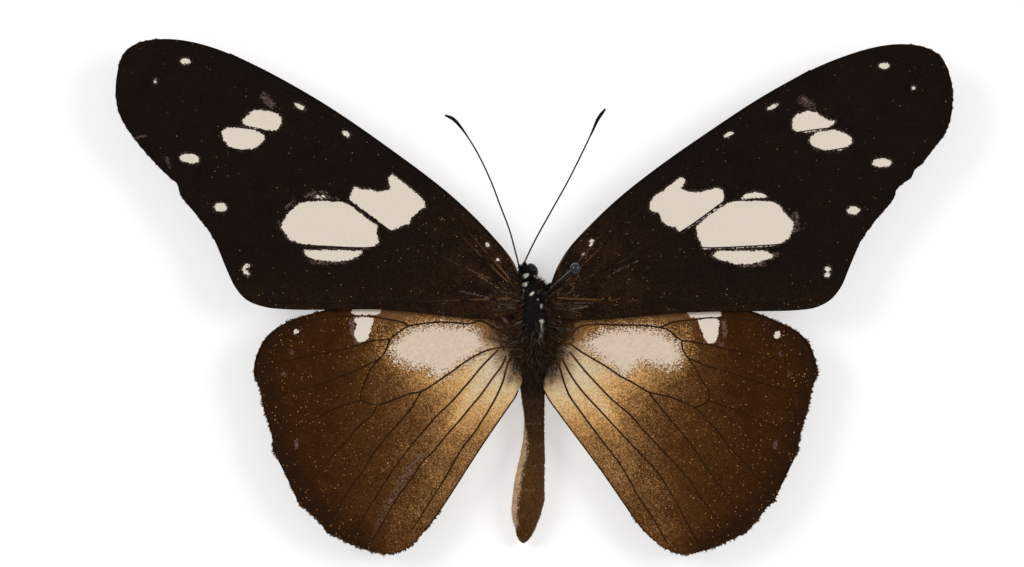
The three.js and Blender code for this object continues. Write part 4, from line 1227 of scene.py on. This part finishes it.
class SPECIMEN_OT_fur(SpecimenOperator, bpy.types.Operator):
    """Build the hairs of the thorax, the head, the abdomen and the wing roots"""

    bl_idname = "specimen.fur"
    bl_label = "Fur"

    def build(self, scene, rng):
        body = scene.specimen_body
        fur = fur_finish(body)
        make_piece("thorax_fur", self.thorax(body, rng), fur)
        make_piece("head_fur", self.head(body, rng), fur)
        make_piece("abdomen_fur", self.abdomen(body, rng), abdomen_finish(body))
        for kind, side, _, _, height, droop in wing_kinds():
            shape = self.wing_root(kind, side, height, droop, body, rng)
            make_piece(f"{side}_{kind}_root_fur", shape, fur)

    @staticmethod
    def thorax(body, rng):
        """Hairs that lie back along the thorax, shorter on its back than on its sides."""
        roots, out = scatter_on_body(THORAX, body.fur_count, 1.4, -7.0, -45, 225, rng)
        back = np.array([0, -1.0, 0])
        rear = smoothstep(-roots[:, 1], 1.5, 4.5)
        direction = out * (0.4 + 0.35 * rear)[:, None] + back + rng.normal(0, 0.3, roots.shape)
        lengths = body.fur_length * rng.uniform(0.4, 1.2, len(roots)) * (0.8 + 1.3 * rear)
        brown = rng.random(len(roots)) ** 1.5 * (0.15 + 0.85 * rear)
        # Painted highlight: a few hairs are made paler to stand for glints of light on the dark fur
        painted_glint = rng.uniform(0, 0.22, len(roots)) * (rng.random(len(roots)) > 0.82)
        marks = {"pale": np.maximum(body_pale(roots), painted_glint), "brown": brown}
        coat = hair_coat(roots - out * 0.03, direction, lengths, body.hair_radius, 0.15, marks)
        tufts = [SPECIMEN_OT_fur.side_tuft(turn, body, rng) for turn in SIDES.values()]
        return gather([coat, *tufts, SPECIMEN_OT_fur.shoulder(body, rng)])

    @staticmethod
    def side_tuft(turn, body, rng):
        """Long hairs from the side of the thorax out over the wing roots, some of them grey."""
        count = SIDE_HAIRS
        low, high = (8, 58) if turn > 0 else (122, 172)
        roots, out = scatter_on_body(THORAX, count, 0.6, -7.0, low, high, rng)
        direction = np.array([turn * 1.0, -0.5, 0.12]) + rng.normal(0, 0.32, roots.shape)
        lengths = rng.uniform(0.5, 1.5, count) * np.interp(roots[:, 1], SIDE_HAIR_PLACE, SIDE_HAIR_SHARE)
        pale = rng.uniform(0.1, 0.6, count) * (rng.random(count) > 0.93)
        marks = {"pale": pale, "brown": rng.random(count) ** 1.5}
        return hair_coat(roots - out * 0.05, direction, lengths, body.hair_radius, 0.25, marks)

    @staticmethod
    def shoulder(body, rng):
        """Hairs that stand off the right front of the thorax, between the head and the forewing."""
        count = SHOULDER_HAIRS
        roots, out = scatter_on_body(THORAX, count, 1.7, -0.3, -15, 75, rng)
        direction = np.array([1.0, 0.42, 0.05]) + rng.normal(0, 0.22, roots.shape)
        lengths = rng.uniform(0.35, 0.95, count)
        pale = rng.uniform(0, 0.3, count) * (rng.random(count) > 0.94)
        marks = {"pale": pale, "brown": 0.3 * rng.random(count)}
        return hair_coat(roots - out * 0.1, direction, lengths, body.hair_radius * 1.3, 0.2, marks)

    @staticmethod
    def head(body, rng):
        """Short upright hairs on the upper head."""
        ball = rng.normal(0, 1, (HEAD_HAIRS, 3))
        ball /= np.linalg.norm(ball, axis=1, keepdims=True)
        roots = from_head(ball * HEAD_RADII * 0.98)
        out = from_head(ball) - HEAD_CENTRE
        lengths = rng.uniform(0.12, 0.34, len(roots))
        direction = out + rng.normal(0, 0.3, out.shape)
        return hair_coat(roots, direction, lengths, body.hair_radius, 0.1, {"pale": body_pale(roots)})

    @staticmethod
    def abdomen(body, rng):
        """Short hairs that lie flat towards the tail, longer at the front, coloured as the skin below."""
        roots, out = scatter_on_body(ABDOMEN, ABDOMEN_HAIRS, -6.6, -24.0, -30, 215, rng)
        direction = out * 0.3 + np.array([0, -1.0, 0]) + rng.normal(0, 0.18, roots.shape)
        lengths = rng.uniform(0.14, 0.36, len(roots))
        lengths *= 1 + 1.3 * smoothstep(roots[:, 1], -9.6, -8.2)
        marks = SPECIMEN_OT_body.skin_marks(roots)
        return hair_coat(roots - out * 0.02, direction, lengths, 0.018, 0.05, marks)

    @staticmethod
    def wing_root(kind, side, height, droop, body, rng):
        """Longer hairs that fan out over the wing from its root, some of them grey or tan."""
        turn = SIDES[side]
        count = ROOT_HAIRS[kind]
        hub = np.array(ROOT_HUB[kind]) * (turn, 1)
        angle = np.radians(rng.uniform(*ROOT_FAN[kind], count))
        out = np.stack([turn * np.cos(angle), np.sin(angle)], axis=1)
        reach = rng.uniform(1.0, 3.4, count)
        flat = hub + out * reach[:, None]
        roots = np.column_stack([flat, wing_height(flat, height, droop) + 0.05])
        direction = np.column_stack([out + rng.normal(0, 0.22, out.shape), rng.uniform(0.05, 0.35, count)])
        lengths = rng.uniform(0.5, 1.4, count)
        pale = rng.uniform(0, 0.4, count) if kind == "hindwing" else 0.3 * rng.random(count) ** 3
        marks = {"pale": pale, "brown": rng.uniform(0.1, 0.9, count)}
        return hair_coat(roots, direction, lengths, body.hair_radius * 0.75, 0.3, marks)


class SPECIMEN_OT_eyes(SpecimenOperator, bpy.types.Operator):
    """Build the two compound eyes"""

    bl_idname = "specimen.eyes"
    bl_label = "Eyes"

    def build(self, scene, rng):
        finish = eye_finish(scene.specimen_body)
        for side, turn in SIDES.items():
            shape = egg(np.array(EYE_PLACE) * (turn, 1, 1), EYE_RADII)
            make_piece(side + "_compound_eye", shape, finish, [side + "_eye"])


class SPECIMEN_OT_feelers(SpecimenOperator, bpy.types.Operator):
    """Build the ringed antennae with their clubs"""

    bl_idname = "specimen.feelers"
    bl_label = "Antennae"

    def build(self, scene, rng):
        finish = cuticle_finish(scene.specimen_body)
        for side in SIDES:
            line = smooth_line(ANTENNAE[side], 330)
            share = np.linspace(0, 1, len(line))
            club = smoothstep(share, 0.8, 0.95)
            radius = ANTENNA_STEM + (ANTENNA_CLUB - ANTENNA_STEM) * club
            radius *= 1 - 0.4 * smoothstep(share, 0.96, 1.0)
            radius += 0.05 * (1 - smoothstep(share, 0, 0.03))
            radius *= 1 - 0.1 * (np.arange(len(line)) % 6 == 0)
            make_piece(side + "_feeler", sweep(line, radius, 10), finish, [side + "_antenna"])


class SPECIMEN_OT_mouth(SpecimenOperator, bpy.types.Operator):
    """Build the palps and the coiled proboscis"""

    bl_idname = "specimen.mouth"
    bl_label = "Mouthparts"

    def build(self, scene, rng):
        finish = cuticle_finish(scene.specimen_body)
        fur = fur_finish(scene.specimen_body)
        for side, turn in SIDES.items():
            line = smooth_line(from_head(np.array(PALP) * (turn, 1, 1)), PALP_STEPS)
            share = np.linspace(0, 1, PALP_STEPS)
            radius = 0.17 * np.sqrt(np.clip(1.02 - (2 * share - 1) ** 8, 0.03, 1)) * (1.1 - 0.35 * share)
            pick = rng.integers(2, PALP_STEPS - 2, PALP_HAIRS)
            angle = rng.uniform(0, 2 * np.pi, PALP_HAIRS)
            out = np.stack([np.cos(angle), np.sin(angle), rng.uniform(0.2, 1.0, PALP_HAIRS)], axis=1)
            roots = line[pick] + out * (1, 1, 0) * radius[pick, None] * 0.9
            lengths = rng.uniform(0.12, 0.28, PALP_HAIRS)
            coat = hair_coat(roots, out, lengths, 0.018, 0, {"pale": 0.3 * (rng.random(PALP_HAIRS) > 0.8)})
            core, faces, _ = sweep(line, radius, 14, (1.0, 0.0, 0.0))
            shape = gather([(core, faces, {"pale": np.zeros(len(core))}), coat])
            make_piece(side + "_furry_palp", shape, fur, [side + "_palp"])
        turns = np.linspace(0, 1, COIL_STEPS)
        angle = 2 * np.pi * COIL_TURNS * turns
        reach = COIL_RADIUS * (1 - 0.75 * turns)
        coil = np.stack([0 * turns, 0.25 + reach * np.sin(angle), -1.65 + reach * np.cos(angle)], axis=1)
        line = from_head(coil)
        radius = (0.08 - 0.02 * turns) * (1 - 0.1 * (np.arange(COIL_STEPS) % 4 == 0))
        across = from_head((1, 0, 0)) - HEAD_CENTRE
        make_piece("coiled_proboscis", sweep(line, radius, 8, across), finish, ["proboscis"])


class SPECIMEN_OT_legs(SpecimenOperator, bpy.types.Operator):
    """Build the six folded legs with their spines"""

    bl_idname = "specimen.legs"
    bl_label = "Legs"

    def build(self, scene, rng):
        finish = cuticle_finish(scene.specimen_body)
        for side, turn in SIDES.items():
            for pair, path in LEGS.items():
                line = smooth_line(np.array(path) * (turn, 1, 1), LEG_STEPS)
                share = np.linspace(0, 1, LEG_STEPS)
                radius = np.interp(share, LEG_PLACE, LEG_RADIUS)
                radius *= 1 - 0.14 * (share > 0.72) * (np.arange(LEG_STEPS) % 6 == 0)
                pick = rng.integers(42, LEG_STEPS - 2, LEG_SPINES)
                angle = rng.uniform(0, 2 * np.pi, LEG_SPINES)
                back = np.full(LEG_SPINES, -0.6)
                out = np.stack([np.cos(angle), back, 0.6 * np.abs(np.sin(angle))], axis=1)
                spines = hair_coat(line[pick], out, rng.uniform(0.16, 0.3, LEG_SPINES), 0.014, 0, {})
                shape = gather([sweep(line, radius, 12), spines])
                node = f"{side}_{pair}"
                make_piece(node + "_limb", shape, finish, [node])


class SPECIMEN_OT_pin(SpecimenOperator, bpy.types.Operator):
    """Build the leaning pin"""

    bl_idname = "specimen.pin"
    bl_label = "Pin"

    def build(self, scene, rng):
        settings = scene.specimen_pin
        lean = PIN_HEAD_CENTRE - PIN_FOOT
        run = np.linalg.norm(lean)
        start = np.pi - np.arcsin(settings.radius / settings.head)
        angle = start * (1 - np.linspace(0, 1, PIN_BALL_STEPS) ** 0.9)
        ball = np.maximum(settings.head * np.sin(angle), 0.004)
        ball_place = run + settings.head * np.cos(angle)
        shaft_place = np.linspace(0, ball_place[0], PIN_SHAFT_STEPS + 1)[:-1]
        place = np.concatenate([shaft_place, ball_place])[:, None]
        radius = np.concatenate([np.full(PIN_SHAFT_STEPS, settings.radius), ball])
        path = PIN_FOOT + lean / run * place
        shape = sweep(path, radius, 32)
        enamel = enamel_finish("pin_enamel", settings.enamel)
        piece = make_piece("pin_shaft_and_head", shape, enamel, ["pin"])
        piece.data.materials.append(enamel_finish("pin_ball", settings.ball))
        middles = np.zeros(len(piece.data.polygons) * 3, np.float32)
        piece.data.polygons.foreach_get("center", middles)
        along = (middles.reshape(-1, 3) / MM - DRAWING_ZERO - PIN_FOOT) @ (lean / run)
        piece.data.polygons.foreach_set("material_index", (along > ball_place[0]).astype(np.int32))


class SPECIMEN_OT_stage(SpecimenOperator, bpy.types.Operator):
    """Build the pale floor, the soft light and the camera above"""

    bl_idname = "specimen.stage"
    bl_label = "Stage"

    def build(self, scene, rng):
        stage = scene.specimen_stage
        mesh = bpy.data.meshes.new("floor")
        mesh.from_pydata(FLOOR_CORNERS, [], [(0, 1, 2, 3)])
        f = Finish("floor", 0.9, 0.1)
        f.shader.inputs["Emission Color"].default_value = (1, 1, 1, 1)
        f.shader.inputs["Emission Strength"].default_value = stage.floor_glow
        mesh.materials.append(f.done(f.shade(stage.floor, f.grain(40.0, 2.0), 0.995, 1.0)))
        floor = bpy.data.objects.new("floor", mesh)
        scene.collection.objects.link(floor)
        world = bpy.data.worlds.new("studio")
        world.use_nodes = True
        world.node_tree.nodes["Background"].inputs["Strength"].default_value = stage.sky
        world.node_tree.nodes["Background"].inputs["Color"].default_value = (1, 1, 1, 1)
        scene.world = world
        for name, place in LAMPS.items():
            light = bpy.data.lights.new(name, "AREA")
            light.energy = stage.lamp
            light.size = LAMP_SIZE
            lamp = bpy.data.objects.new(name, light)
            lamp.location = place
            lamp.rotation_euler = (-lamp.location).to_track_quat("-Z", "Y").to_euler()
            scene.collection.objects.link(lamp)
        camera = bpy.data.objects.new("camera", bpy.data.cameras.new("camera"))
        camera.data.lens = stage.lens
        camera.data.clip_start = 0.01
        rise = stage.view_width * stage.lens / camera.data.sensor_width
        camera.location = (stage.view_x * MM, stage.view_y * MM, (stage.view_height + rise) * MM)
        scene.collection.objects.link(camera)
        scene.camera = camera
        scene.view_settings.view_transform = "Standard"


STEPS = (
    SPECIMEN_OT_wings, SPECIMEN_OT_veins, SPECIMEN_OT_fringe, SPECIMEN_OT_body, SPECIMEN_OT_fur,
    SPECIMEN_OT_eyes, SPECIMEN_OT_feelers, SPECIMEN_OT_mouth, SPECIMEN_OT_legs, SPECIMEN_OT_pin,
    SPECIMEN_OT_stage,
)
SETTINGS = {
    "specimen_wings": SpecimenWings,
    "specimen_body": SpecimenBody,
    "specimen_pin": SpecimenPin,
    "specimen_stage": SpecimenStage,
}


class SPECIMEN_PT_panel(bpy.types.Panel):
    """Lists the steps of the specimen"""

    bl_label = "Spread Butterfly"
    bl_space_type = "VIEW_3D"
    bl_region_type = "UI"
    bl_category = "Specimen"

    def draw(self, context):
        for step in STEPS:
            self.layout.operator(step.bl_idname)


def register():
    """Registers the settings, the steps and the panel."""
    for name, group in SETTINGS.items():
        bpy.utils.register_class(group)
        setattr(bpy.types.Scene, name, PointerProperty(type=group))
    for step in (*STEPS, SPECIMEN_PT_panel):
        bpy.utils.register_class(step)


def unregister():
    """Removes what register added."""
    for step in (SPECIMEN_PT_panel, *reversed(STEPS)):
        bpy.utils.unregister_class(step)
    for name, group in SETTINGS.items():
        delattr(bpy.types.Scene, name)
        bpy.utils.unregister_class(group)


def main():
    """Builds every piece and the stage."""
    register()
    for step in STEPS:
        group, name = step.bl_idname.split(".")
        getattr(getattr(bpy.ops, group), name)()


if __name__ == "__main__":
    main()
